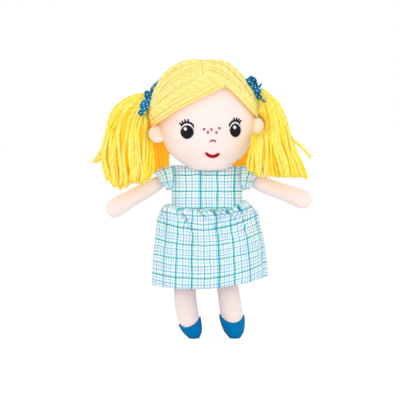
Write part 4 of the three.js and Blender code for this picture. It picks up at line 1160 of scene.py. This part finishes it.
strays = {
    "right": [[(-93, -18, 245), (-104, -20, 226), (-110.5, -22, 206), (-116, -22, 196), (-121.5, -22, 188)],
              [(-92, -24, 240), (-102, -26, 222), (-108.5, -27, 204), (-113, -27, 194), (-117.5, -27, 188)]],
    "left": [[(74, -18, 245), (82, -22, 228), (90, -26, 214.5), (97, -28, 208), (104, -28, 201.5),
              (110.5, -28, 193)],
             [(78, -26, 230), (86, -30, 212), (93, -32, 196), (101, -33, 182), (106, -33, 170)]],
}
# Its groove colour and its orange deep colour are painted shade.
tail_yarn = crown_yarn("golden_three_ply_yarn", "#fffa90", "#ffeb3a", "#ffd61c", "#ffb414")


def yarn_at(row, u, v):
    """A point of a pigtail's section, at shares of its width and depth."""
    x, y, h, wide, deep, tilt = row
    lean = math.radians(tilt)
    return place(x + u * wide * math.cos(lean), y + v * deep, h - u * wide * math.sin(lean))


EAR_REACH = 13
EAR_BACK = 4


def behind_ear(spot, ear_x, ear_z):
    """Moves a point of the pigtail back where the ear is in front of it."""
    near = math.hypot(spot[0] - ear_x, spot[2] - ear_z) / MM
    share = math.exp(-(near / EAR_REACH) ** 4)
    spot[1] += max(0, EAR_BACK * MM + 0.3 * (spot[1] + 0.03) - spot[1]) * share
    return spot


for side, out in SIDES:
    tie, heading, sections = pigtails[side]
    low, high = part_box(f"{side}_ear")
    ear_x, ear_z = (low.x + high.x) / 2, (low.z + high.z) / 2
    rows = [(tie[0] - out * 5, tie[1], tie[2], TIE_RADIUS, TIE_RADIUS, out * heading),
            (tie[0], tie[1], tie[2], TIE_RADIUS, TIE_RADIUS, out * heading)]
    rows += [
        (tie[0] + out * away, y, tie[2] - down, wide - YARN_RADIUS, deep - YARN_RADIUS, out * turn)
        for away, y, down, wide, deep, turn in sections
    ]
    rows = smooth_rows(rows, 4)

    cut_line = np.array(cut_lines[side])
    paths, ups, radii, painted_shade_values = [], [], [], []
    for k in range(YARN_COUNT):
        reach = 1.02 - 0.2 * (k % 2) - 0.08 * random.random()
        angle = 2 * math.pi * (k + random.uniform(-0.8, 0.8)) / YARN_COUNT
        drift = random.uniform(-0.35, 0.35)
        wave, second = random.uniform(0, 2 * math.pi), random.uniform(0, 2 * math.pi)
        end = random.uniform(-2.5, 3.5) + 5 * random.random() ** 4
        path = []
        for i in np.linspace(0, len(rows) - 1, 90):
            j = min(int(i), len(rows) - 2)
            row = rows[j] + (rows[j + 1] - rows[j]) * (i - j)
            s = i / (len(rows) - 1)
            bend = (0.045 * math.sin(wave + 13 * s) + 0.02 * math.sin(second + 31 * s)) * min(1, 3 * s)
            turn = angle + drift * s + 0.05 * math.sin(second + 11 * s)
            spot = yarn_at(row, (reach + bend) * math.cos(turn), (reach + bend) * math.sin(turn))
            spot = behind_ear(spot, ear_x, ear_z)
            h = spot[2] / MM + WAIST_HEIGHT
            if s > 0.5 and h < read_off(cut_line, spot[0] / MM) + end:
                break
            path.append(spot)
        paths.append(evened(np.array(path), YARN_POINTS))
        # Every other yarn lies further in and is painted more orange as shade, each with a little more at
        # random.
        painted_shade_values.append([0.25 * (k % 2) + 0.2 * random.random()] * YARN_POINTS)
    for points in strays[side]:
        paths.append(evened(smooth_rows([place(*p) for p in points], 12), YARN_POINTS))
        # The stray yarns take a little of the orange painted shade.
        painted_shade_values.append([0.1] * YARN_POINTS)
    for path in paths:
        ends = np.ones(YARN_POINTS)
        ends[0] = 0.8
        ends[-4:] = (1.04, 1.08, 0.95, 0.5)
        radii.append(YARN_RADIUS * MM * random.uniform(0.85, 1.12) * ends)
        ups.append(np.array([(0.3, -1, 0.2)] * YARN_POINTS))
    tail = tubes(f"{side}_pigtail_yarn", paths, radii, ups, YARN_SIDES, painted_shade_values)
    cut_row = next(i for i, row in enumerate(rows) if row[2] < cut_line[:, 1].max() + 6)
    # A filled core inside the yarns, painted full orange as the shade inside the bundle, and glowing faintly
    # as painted light.
    core_rows = [
        (x, y, h, CORE_SHARE * wide, CORE_SHARE * deep, tilt)
        for x, y, h, wide, deep, tilt in rows[CORE_START:cut_row]
    ]
    first, last = core_rows[0], core_rows[-1]
    core_rows = [(*first[:3], 0, 0, first[5])] + core_rows + [(*last[:3], 0, 0, last[5])]
    core = stuffed(f"{side}_pigtail_shade_core", core_rows, 48, 1)
    for vertex in core.data.vertices:
        vertex.co = behind_ear(np.array(vertex.co), ear_x, ear_z) + np.array((0, YARN_RADIUS * MM, 0))
    mark(core, "shade", [0.5] * len(core.data.vertices))
    mark(core, "deep", [1] * len(core.data.vertices))
    for piece in (tail, core):
        piece.data.materials.append(tail_yarn)
        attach(piece, f"{side}_pigtail")
    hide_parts(f"{side}_pigtail")

# Ties and bows: each pigtail is bound with a turn of ribbon, and a bow of printed satin ribbon is
# tied over it. The ribbon is 6.35 mm wide and carries small white dots, 4.2 mm apart.

RIBBON_WIDTH = 6.35
RIBBON_WALL = 0.35
RIBBON_COLUMNS = 7
RIBBON_CURL = 0.3
TAIL_SHARE = 0.6
TIE_PITCH = 2.2
TIE_STEPS = 60
TIE_WALL = 1.2
TIE_LIFT = 1.5
TIE_SIDES = 10
DOT_PITCH = 4.2
DOT_RADIUS = 0.6

dotted, tree = new_material("dotted_satin_ribbon")
flat = add_node(tree, "ShaderNodeUVMap", {"uv_map": "flat"})
turned = add_node(tree, "ShaderNodeVectorRotate", {"rotation_type": "Z_AXIS", "Angle": math.radians(45)},
                  {"Vector": flat.outputs[0]})
cell = add_node(tree, "ShaderNodeVectorMath",
                {"operation": "WRAP", 1: (DOT_PITCH / 2,) * 3, 2: (-DOT_PITCH / 2,) * 3},
                {0: turned.outputs[0]})
parts = add_node(tree, "ShaderNodeSeparateXYZ", None, {0: cell.outputs[0]})
flat_cell = add_node(tree, "ShaderNodeCombineXYZ", None, {0: parts.outputs[0], 1: parts.outputs[1]})
size = add_node(tree, "ShaderNodeVectorMath", {"operation": "LENGTH"}, {0: flat_cell.outputs[0]})
dot = add_node(tree, "ShaderNodeMath", {"operation": "LESS_THAN", 1: DOT_RADIUS},
               {0: size.outputs["Value"]})
coordinates = add_node(tree, "ShaderNodeTexCoord")
# Random blotches mix the ribbon's blue in shade with its blue in light: painted shade and light, laid at
# random.
lit_and_shaded_blotches = add_node(tree, "ShaderNodeTexNoise", {"Scale": 160, "Detail": 2},
               {"Vector": coordinates.outputs["Object"]})
blue = add_node(tree, "ShaderNodeMix",
                {"data_type": "RGBA", "A": linear("#064f7a"), "B": linear("#0b92cc")},
                {"Factor": lit_and_shaded_blotches.outputs["Fac"]})
printed = add_node(tree, "ShaderNodeMix", {"data_type": "RGBA", "B": linear("#f4fbff")},
                   {"Factor": dot.outputs[0], "A": blue.outputs["Result"]})
ribs = add_node(tree, "ShaderNodeTexWave", {"Scale": 0.9, "Distortion": 0}, {"Vector": flat.outputs[0]})
bump = add_node(tree, "ShaderNodeBump", {"Strength": 0.15, "Distance": 0.1 * MM},
                {"Height": ribs.outputs["Fac"]})
satin = add_node(tree, "ShaderNodeBsdfPrincipled", {"Roughness": 0.42, "Specular IOR Level": 0.1},
                 {"Base Color": printed.outputs["Result"], "Normal": bump.outputs[0]})
add_node(tree, "ShaderNodeOutputMaterial", None, {"Surface": satin.outputs[0]})


def ribbon(name, points, across, width):
    """A ribbon along a line, with its width near a given direction and its edges curled up a little."""
    line = smooth_rows([place(*p) for p in points], 8)
    steps = np.gradient(line, axis=0)
    along = steps / np.linalg.norm(steps, axis=1, keepdims=True)
    wide = across - (along @ across)[:, None] * along
    wide /= np.linalg.norm(wide, axis=1, keepdims=True)
    normal = np.cross(along, wide)
    run = run_along(line) / MM
    places, uvs = [], []
    for i, point in enumerate(line):
        for j in range(RIBBON_COLUMNS):
            t = j / (RIBBON_COLUMNS - 1) - 0.5
            curl = RIBBON_CURL * (4 * t * t - 1)
            places.append(point + (wide[i] * t * width + normal[i] * curl) * MM)
            uvs.append((run[i], t * width))
    piece = new_piece(name, places, grid_faces(len(line), RIBBON_COLUMNS, False), uvs)
    solid_sheet(piece, RIBBON_WALL)
    piece.data.materials.append(dotted)
    return piece


for side, out in SIDES:
    spot, heading, _ = pigtails[side]
    lean = math.radians(out * heading)
    away = np.array((math.sin(lean), 0, math.cos(lean)))
    rise = np.array((-math.cos(lean), 0, math.sin(lean)))
    turns = []
    for turn in np.linspace(0, 4 * math.pi, TIE_STEPS):
        outward = rise * math.cos(turn) + np.array((0, 1, 0)) * math.sin(turn)
        along = away * (turn / 6.28 - 1) * TIE_PITCH
        turns.append(place(*(spot + along + outward * (TIE_RADIUS + TIE_LIFT))))
    tie = tubes(f"{side}_ribbon_tie", [turns], [TIE_WALL * MM], [away], TIE_SIDES)
    tie.data.materials.append(dotted)
    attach(tie, "head")
    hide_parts(f"{side}_hair_tie")

bows = {
    "right": [
        ("loop_low", [(-61.5, -11, 256), (-65, -14, 249.5), (-69, -15, 243.5), (-73, -12.5, 241),
                      (-73.5, -9.5, 246), (-67, -9.5, 253), (-62, -10.5, 256.5)], (0.8, -0.5, -0.35)),
        ("loop_high", [(-62.5, -11, 257), (-64, -14, 260), (-63.5, -14, 264), (-60.5, -11, 265.5),
                       (-60, -9.5, 263), (-60.5, -9.5, 260), (-62, -10.5, 257)], (-1, -0.4, -0.2)),
        ("tail_high", [(-61, -9.5, 259), (-60, -10.5, 265.5), (-57.5, -9.5, 270.5), (-51.5, -6, 276.5)],
         (0.6, -0.8, -0.3)),
        ("tail_low", [(-63, -9, 256), (-67.5, -8, 251), (-70, -7.5, 245), (-69.5, -8, 239)],
         (0.9, -0.5, 0.2)),
    ],
    "left": [
        ("loop_high", [(51, -11, 266), (47.5, -14, 271), (45, -15, 275.5), (43.5, -13, 278.5),
                       (47.5, -12, 279.2), (51, -11, 275), (51.5, -10.5, 269)], (0.9, -0.6, 0.5)),
        ("loop_low", [(51.5, -11, 266), (52.5, -14, 262), (54, -14, 259), (56.5, -12, 257.5),
                      (56, -9.5, 260), (54, -9.5, 263), (52.5, -10.5, 266)], (0.35, -0.9, 0.2)),
        ("tail_high", [(51, -9.5, 267), (53, -11, 268.5), (56, -10, 270.5), (58.8, -8, 273)],
         (-0.2, -0.9, 0.4)),
        ("tail_low", [(52, -9.5, 265), (55, -11, 260), (59, -10.5, 256), (63.5, -8, 252.4)],
         (0.2, -0.95, 0.25)),
    ],
}
KNOT_HALF = (3, 2.3, 3.4)
knot_shares = [(-1, 0), (-0.8, 0.62), (-0.3, 1), (0.3, 1), (0.8, 0.62), (1, 0)]
for side, ribbons in bows.items():
    for name, points, across in ribbons:
        width = RIBBON_WIDTH * (1 if "loop" in name else TAIL_SHARE)
        piece = ribbon(f"{side}_bow_{name}", points, np.array(across), width)
        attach(piece, "head")
    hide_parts(f"{side}_ribbon_bow")
    (x, y, h), _ = box_of(f"{side}_bow_knot")
    half_x, half_y, half_h = KNOT_HALF
    rows = [(x, y, h + up * half_h, size * half_x, size * half_y, 0) for up, size in knot_shares]
    knot = stuffed(f"{side}_ribbon_knot", rows, 24, 4)
    knot.data.materials.append(dotted)
    flat_layer = knot.data.uv_layers.new(name="flat")
    for loop in knot.data.loops:
        spot = knot.data.vertices[loop.vertex_index].co / MM
        flat_layer.data[loop.index].uv = (spot.x, spot.z)
    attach(knot, "head")
    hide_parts(f"{side}_bow_knot")

# Dress bodice: printed plain-weave cotton, a front and two back panels with seams at the sides and
# shoulders. It fits over the torso, with a wide dipped neckline and round armholes.

DRESS_WALL = 0.6
WARP_REPEAT = 65.1
WEFT_REPEAT = 17.4
warp_bands = [
    (0, 1.1, "#33a8c0"), (1.1, 1.8, "#9fe2ec"), (4.3, 1, "#fbe0cc"), (6, 1.3, "#9fdce9"),
    (8.6, 2.4, "#e2ebfa"), (12, 1.3, "#a8e2ed"), (14.9, 1, "#d9f4ec"),
    (17.6, 1.1, "#33a8c0"), (18.7, 1.6, "#9fe2ec"), (22, 1.6, "#d6f3ea"), (25.6, 1.5, "#93d6e6"),
    (28.9, 2.2, "#e4e6f8"), (32.6, 1.3, "#9de0ee"),
    (35.7, 1.2, "#33a8c0"), (36.9, 1.5, "#9fe2ec"), (39.9, 1.1, "#fbdcc6"), (42.6, 1.4, "#9fdce9"),
    (45.6, 2.1, "#e2e8f9"), (49.6, 1.3, "#74c6d8"), (52.8, 1.4, "#d6f3ea"), (56, 1.4, "#93d6e6"),
    (59.4, 2, "#e6e8f9"), (63.2, 1.3, "#9de0ee"),
]
weft_bands = [
    (0, 0.9, "#2fa3b8"), (0.9, 1.4, "#c6f2f7"), (4.2, 1.3, "#9fdbe8"), (7, 2.4, "#e0eaf9"),
    (10.6, 1.3, "#98d9e6"), (13.8, 2, "#d9f5f2"),
]


def banded(tree, coordinate, repeat, bands):
    """A colour ramp of the bands over one repeat of the cloth."""
    scaled = add_node(tree, "ShaderNodeMath", {"operation": "MULTIPLY", 1: 1 / repeat}, {0: coordinate})
    share = add_node(tree, "ShaderNodeMath", {"operation": "FRACT"}, {0: scaled.outputs[0]})
    ramp = add_node(tree, "ShaderNodeValToRGB", None, {0: share.outputs[0]})
    stops = ramp.color_ramp
    stops.interpolation = "CONSTANT"
    marks = []
    for start, width, colour in bands:
        marks.append((start, colour))
        marks.append((start + width, "#ffffff"))
    starts = {round(start, 3) for start, _, _ in bands}
    marks = [m for m in marks if not (m[1] == "#ffffff" and round(m[0], 3) in starts)]
    for index, (spot, colour) in enumerate(marks):
        stop = stops.elements[0] if index == 0 else stops.elements.new(spot / repeat)
        stop.position = spot / repeat
        stop.color = linear(colour)
    return ramp


def plaid_half(tree, parts, bands, low, high):
    """Part of the warp's bands, white elsewhere, so that each ramp has few enough stops."""
    chosen = [band for band in bands if low <= band[0] < high]
    if chosen[0][0] > 0:
        chosen = [(0, 0.01, "#ffffff")] + chosen
    return banded(tree, parts.outputs["X"], WARP_REPEAT, chosen)


plaid, tree = new_material("printed_plaid_cotton")
flat = add_node(tree, "ShaderNodeUVMap", {"uv_map": "flat"})
drift = add_node(tree, "ShaderNodeTexNoise", {"Scale": 0.07, "Detail": 1}, {"Vector": flat.outputs[0]})
pulled = add_node(tree, "ShaderNodeVectorMath", {"operation": "MULTIPLY_ADD", 1: (2, 2, 0)},
                  {0: drift.outputs["Color"], 2: flat.outputs[0]})
parts = add_node(tree, "ShaderNodeSeparateXYZ", None, {0: pulled.outputs[0]})
warp_low = plaid_half(tree, parts, warp_bands, 0, 29)
warp_high = plaid_half(tree, parts, warp_bands, 29, WARP_REPEAT)
weft = banded(tree, parts.outputs["Y"], WEFT_REPEAT, weft_bands)
warp = add_node(tree, "ShaderNodeMix", {"data_type": "RGBA", "blend_type": "MULTIPLY", "Factor": 1},
                {"A": warp_low.outputs[0], "B": warp_high.outputs[0]})
check = add_node(tree, "ShaderNodeMix", {"data_type": "RGBA", "blend_type": "MULTIPLY", "Factor": 1},
                 {"A": warp.outputs["Result"], "B": weft.outputs[0]})
bump = woven_bump(tree, 0.7, 0.1, 2200, flat.outputs[0])
bump.inputs["Strength"].default_value = 0.2
cotton = add_node(tree, "ShaderNodeBsdfPrincipled",
                  {"Roughness": 0.85, "Sheen Weight": 0.1, "Specular IOR Level": 0.2},
                  {"Base Color": check.outputs["Result"], "Normal": bump.outputs[0]})
add_node(tree, "ShaderNodeOutputMaterial", None, {"Surface": cotton.outputs[0]})

BODICE_WIDTH = 37.6
BODICE_DEPTH = 21
BODICE_ROUNDING = 0.62
seam_line = smooth_rows([
    (-41, 145.5), (-35, 142.6), (-26, 140.6), (-14, 139.3), (0, 138.8), (14, 139), (25, 140.2),
    (32, 142.8), (37, 147), (41, 150.5),
], 6)
bodice_depths = np.array([
    (139, 20.9), (150, 21.3), (160, 21), (168, 19.4), (174, 16.6), (179, 10.8), (183, 4.6), (186, 0.8),
])
neckline = np.array([
    (-40, 185.8), (-25.5, 185.6), (-15, 182.8), (-7.2, 180.6), (0, 179.9), (8.4, 180.2), (18, 182.2),
    (27.9, 184.8), (40, 185.6),
])
ARMHOLE_RADIUS = 10.5
BODICE_ROWS = 60
BODICE_COLUMNS = 150
SIDE_BAND = 13
BODICE_WARP_START = 6.8
BODICE_WEFT_START = 140.65


def seam_height(x):
    """The height of the waist seam, which rises at both sides."""
    return read_off(seam_line, x)


def boxed(share, power=BODICE_ROUNDING):
    """A sine or cosine drawn out, so that an oval gets a flat front and full sides."""
    return math.copysign(abs(share) ** power, share)


def bodice_point(angle, h, lift=0):
    """A point of the bodice at an angle round the body, where 90 degrees is the back."""
    depth = read_off(bodice_depths, h)
    wide = BODICE_WIDTH + max(0, h - 172) * 0.12
    turn = math.radians(angle)
    pull = 0.35 * math.sin(7 * turn + 0.09 * h) + 0.25 * math.sin(13 * turn - 0.15 * h)
    across = (wide + lift) * boxed(math.cos(turn))
    return (across, (depth + lift + pull * abs(math.sin(turn))) * boxed(math.sin(turn)), h)


back_girth = run_along(np.array([
    (BODICE_WIDTH * boxed(math.sin(turn)), BODICE_DEPTH * boxed(math.cos(turn)))
    for turn in np.radians(np.arange(90, 181))
]))


def cloth_place(angle):
    """How far round the body an angle lies on the cloth, from the middle of the front."""
    around = abs(angle + 90)
    if around > 90:
        far = BODICE_WIDTH + SIDE_BAND + float(np.interp(around, range(90, 181), back_girth))
    else:
        far = BODICE_WIDTH * boxed(math.sin(math.radians(around))) + SIDE_BAND * max(0, around / 45 - 1)
    return math.copysign(far, angle + 90)


def off_armhole(x, y, h):
    """Whether a place of the bodice lies outside the armholes."""
    return abs(x) <= 28 or math.hypot(y, h + WAIST_HEIGHT - SHOULDER_HEIGHT) >= ARMHOLE_RADIUS


for name, node, start, end, flat_width in [
    ("dress_front", "bodice_front", -180, 0, 0.1),
    ("dress_back_left", "bodice_back_left", 0, 90, 0.05),
    ("dress_back_right", "bodice_back_right", -270, -180, 0.05),
]:
    columns = round(BODICE_COLUMNS * (end - start) / 360)
    points, uvs = [], []
    for i in range(BODICE_ROWS + 1):
        for angle in start + (end - start) * np.arange(columns + 1) / columns:
            x = BODICE_WIDTH * boxed(math.cos(math.radians(angle)))
            low = seam_height(x)
            h = low + (read_off(neckline, x) - low) * i / BODICE_ROWS
            points.append(place(*bodice_point(angle, h)))
            uvs.append((cloth_place(angle) + BODICE_WARP_START, h - BODICE_WEFT_START))
    panel = new_piece(name, points, grid_faces(BODICE_ROWS + 1, columns + 1, False), uvs)
    solid_sheet(keep_faces(panel, off_armhole), DRESS_WALL)
    panel.data.materials.append(plaid)
    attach(panel, "torso")
    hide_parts(node)

# Back closing: a loop tape and a hook tape, sewn flat under a placket of the dress cloth that
# covers the meeting edges of the two back panels. The tapes are knitted nylon with a looped face.

tape, tree = new_material("knitted_nylon_tape")
coordinates = add_node(tree, "ShaderNodeTexCoord")
loops = add_node(tree, "ShaderNodeTexVoronoi", {"Scale": 1600},
                 {"Vector": coordinates.outputs["Object"]})
bump = add_node(tree, "ShaderNodeBump", {"Strength": 0.8, "Distance": 0.3 * MM},
                {"Height": loops.outputs["Distance"]})
tone = add_node(tree, "ShaderNodeMix",
                {"data_type": "RGBA", "A": linear("#f4f6f7"), "B": linear("#d5dadd")},
                {"Factor": loops.outputs["Distance"]})
nylon = add_node(tree, "ShaderNodeBsdfPrincipled", {"Roughness": 0.6},
                 {"Base Color": tone.outputs["Result"], "Normal": bump.outputs[0]})
add_node(tree, "ShaderNodeOutputMaterial", None, {"Surface": nylon.outputs[0]})

STRIP_ROWS = 30
STRIP_COLUMNS = 8
STRIP_WALL = 0.5
STRIP_WARP_START = 3
STRIP_WEFT_START = 140.1

for name, node, wide, lift, low, high, material, slot in [
    ("loop_tape", "closure_loop_tape", 7, 0.9, 144, 169, tape, "closure_tape"),
    ("hook_tape", "closure_hook_tape", 7, 1.7, 144, 169, tape, "closure_tape"),
    ("back_placket_cloth", "back_placket", 9, 2.6, 142, 172, plaid, "plaid_cotton"),
]:
    points, uvs = [], []
    for i in range(STRIP_ROWS + 1):
        for j in range(STRIP_COLUMNS + 1):
            h = low + (high - low) * i / STRIP_ROWS
            x = wide * (j / STRIP_COLUMNS - 0.5)
            angle = math.degrees(math.acos(boxed(x / (BODICE_WIDTH + lift), 1 / BODICE_ROUNDING)))
            points.append(place(*bodice_point(angle, h, lift)))
            uvs.append((x + STRIP_WARP_START, h - STRIP_WEFT_START))
    strip = new_piece(name, points, grid_faces(STRIP_ROWS + 1, STRIP_COLUMNS + 1, False), uvs)
    solid_sheet(strip, STRIP_WALL)
    strip.data.materials.append(material)
    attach(strip, "torso")
    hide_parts(node)
    flat = (max(0.01, (wide + 1) * MM), (high - low) * MM)

# Skirt: one long strip of the dress cloth, gathered into the waist seam, so that it stands out from
# the waist and hangs in soft folds. Rows are the height at the front, the half width, the half
# depth, the sideways shift, the rise towards the left and the rise at both sides.

SKIRT_COLUMNS = 360
SKIRT_WARP_START = 54.7
SKIRT_WARP_TURN = 48.5
SKIRT_WARP_FRONT = 12
CREASE_REACH = 52
BACK_CREASES = 16
FOLD_HEIGHT = 0.95
weft_places = np.array([(54, -4.62), (64.9, -4), (85.1, -3), (99.8, -2), (116.4, -1), (138.8, -0.06)])
skirt_rows = [
    (138.4, 37.6, 20.9, 0, 1.6, 8.7), (138.5, 40.5, 22.2, -0.6, 1.2, 5), (137.8, 43.5, 23.6, -1.2, 1.4, 3),
    (135.6, 47.9, 25.2, -0.3, 1.6, 2.4), (130, 52.2, 27.2, 0.7, 2.3, 3.6), (120, 54.4, 29.2, 0.8, 1.9, 5.1),
    (106, 57, 31.2, 1.8, 1.6, 4.6), (89, 59.5, 33.2, 2.1, 1.8, 4.3), (72, 60.6, 34.6, 2.4, 2.8, 4.8),
    (54.6, 61, 35.6, 2.2, 4.5, 7.5),
]
creases = [
    (-50, 2.5, 0.12, -0.3), (-43, 5.5, 0.14, -0.4), (-29, 10, 0.2, 0.75), (-20, 2.6, 0.1, -0.2),
    (-12.2, 6, 0.24, 1.45), (-4, 3, 0.18, 0.9), (3, 5.5, 0.24, 1.2), (10, 4, 0.22, 1.2), (17, 6.5, 0.24, 1.3),
    (26, 4, 0.2, 1.1), (33, 5.5, 0.18, 0.8), (40, 4, 0.18, 0.5), (48, 3.6, 0.14, 0.3),
]
crease_turns = [(-math.acos(x / CREASE_REACH), depth, fall, slope) for x, depth, fall, slope in creases]
crease_turns += [
    (0.12 + 0.2 * k + random.uniform(-0.05, 0.05), random.uniform(2, 4.5), random.uniform(0.1, 0.25),
     random.uniform(-0.4, 0.4))
    for k in range(BACK_CREASES)
]


def warp_place(turn):
    """How far along the strip a direction round the skirt lies; more cloth is gathered in front."""
    u = turn - 1.5 * math.pi
    return SKIRT_WARP_TURN * u + SKIRT_WARP_FRONT * math.sin(u) + SKIRT_WARP_START


points, uvs = [], []
dense_rows = smooth_rows(skirt_rows, 9)
run = run_along(dense_rows[:, [2, 0]])
for t, (h, wide, deep, shift, lean, rise) in zip(run / run[-1], dense_rows):
    gather = min(1, t / 0.03)
    rounding = BODICE_ROUNDING + (1 - BODICE_ROUNDING) * min(1, t / 0.15)
    for j in range(SKIRT_COLUMNS):
        turn = 2 * math.pi * j / SKIRT_COLUMNS
        out = 0
        for crease, depth, fall, slope in crease_turns:
            gap = (turn - crease - slope * t + math.pi) % (2 * math.pi) - math.pi
            width = 0.034 + 0.07 * t
            fade = gather * math.exp(-max(0, t - 0.03) / fall)
            out -= depth * fade * math.exp(-(gap / width) ** 2)
            out += 0.35 * depth * fade * math.exp(-((abs(gap) - 2.1 * width) / width) ** 2)
        fold = math.sin(8 * turn + 0.6 + 0.5 * t) + 0.7 * math.sin(13 * turn + 2 - t)
        fold += 0.4 * math.sin(5 * turn)
        out += FOLD_HEIGHT * (0.15 + t) * fold * min(1, t / 0.15)
        across, back = math.cos(turn), math.sin(turn)
        corner = (abs(across) ** (2 / rounding) + abs(back) ** (2 / rounding)) ** (-rounding / 2)
        x = shift + (wide + out) * corner * across
        fallen = min(1, t / 0.08) ** 0.8
        hung = lean * across + rise * across ** 2
        tilt = fallen * hung + (1 - fallen) * (seam_height(x) - seam_height(0))
        points.append(place(x, (deep + out) * corner * back, h + tilt))
        swing = (8 if across > 0 else 7 * math.exp(-1.2 * t)) * across ** 2
        weft_place = read_off(weft_places, h) * WEFT_REPEAT - 1
        uvs.append((warp_place(turn), weft_place - swing * (1 - math.exp(-t / 0.12))))
skirt = new_piece("dress_skirt", points, grid_faces(len(dense_rows), SKIRT_COLUMNS, True))
layer = skirt.data.uv_layers.new(name="flat")
for face in skirt.data.polygons:
    columns = [v % SKIRT_COLUMNS for v in face.vertices]
    wraps = max(columns) - min(columns) > 2
    for loop, vertex, column in zip(face.loop_indices, face.vertices, columns):
        u, v = uvs[vertex]
        layer.data[loop].uv = (warp_place(2 * math.pi) if wraps and column == 0 else u, v)
solid_sheet(skirt, DRESS_WALL)
skirt.data.materials.append(plaid)
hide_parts("skirt")
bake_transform(skirt)

# Sleeve ruffles: short gathered caps of the dress cloth over the top of each arm. Each one is sewn
# round the upper part of the armhole and stands out in small waves.

RUFFLE_REACH = 17
RUFFLE_HALF_TURN = 145
RUFFLE_COLUMNS = 150
RUFFLE_ROWS = 18
RUFFLE_RADIUS = 12.8
RUFFLE_WAVE = 1.4
RUFFLE_PUFF = 1.2
RUFFLE_GATHER = 0.5
SEAM_HALF_DEPTH = 12.6
SEAM_TOP = 14.4
SEAM_BOTTOM = 12
RUFFLE_WARP_TURN = 24
RUFFLE_WARP_START = 11
RUFFLE_WEFT_START = 9.5

for side, out in SIDES:
    lean = math.radians(out * (90 + ARM_DROOPS[side]))
    along = np.array((math.sin(lean), 0, math.cos(lean)))
    over = np.array((-math.cos(lean) * out, 0, math.sin(lean) * out))
    shoulder = np.array((out * SHOULDER_X, 0, SHOULDER_HEIGHT))
    points, uvs = [], []
    for i in range(RUFFLE_ROWS + 1):
        reach = i / RUFFLE_ROWS
        weft_place = reach * RUFFLE_REACH + RUFFLE_WEFT_START
        for j in range(RUFFLE_COLUMNS + 1):
            turn = math.radians(RUFFLE_HALF_TURN * (2 * j / RUFFLE_COLUMNS - 1))
            fade = max(0, math.cos(turn * 90 / RUFFLE_HALF_TURN)) ** 0.8
            outward = over * math.cos(turn) + np.array((0, 1, 0)) * math.sin(turn)
            seam_y = SEAM_HALF_DEPTH * math.sin(turn)
            seam_h = SHOULDER_HEIGHT + (SEAM_TOP if math.cos(turn) > 0 else SEAM_BOTTOM) * math.cos(turn)
            deep = min(1, abs(seam_y) / max(read_off(bodice_depths, seam_h), 1))
            narrow = max(0, 1 - deep ** 3.2) ** (1 / 3.2)
            seam = np.array((out * (BODICE_WIDTH * max(narrow, 0.93) + 1), seam_y, seam_h))
            wave = math.sin(6 * turn + 1.2 * out) + 0.4 * math.sin(11 * turn + 1)
            edge = shoulder + along * (2.2 + 3.8 * fade + 0.7 * wave)
            edge += outward * (RUFFLE_RADIUS + RUFFLE_WAVE * wave * reach)
            puff = RUFFLE_PUFF * math.sin(math.pi * min(1, reach * 1.5))
            gather = RUFFLE_GATHER * math.sin(30 * turn) * (1 - reach) * min(1, reach * 5)
            points.append(place(*(seam + (edge - seam) * reach + outward * puff + along * gather)))
            uvs.append((turn * RUFFLE_WARP_TURN + RUFFLE_WARP_START, weft_place))
    faces = grid_faces(RUFFLE_ROWS + 1, RUFFLE_COLUMNS + 1, False)
    ruffle = new_piece(f"{side}_sleeve_frill", points, faces, uvs)
    solid_sheet(ruffle, DRESS_WALL)
    ruffle.data.materials.append(plaid)
    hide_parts(f"{side}_sleeve_ruffle")
    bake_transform(ruffle)
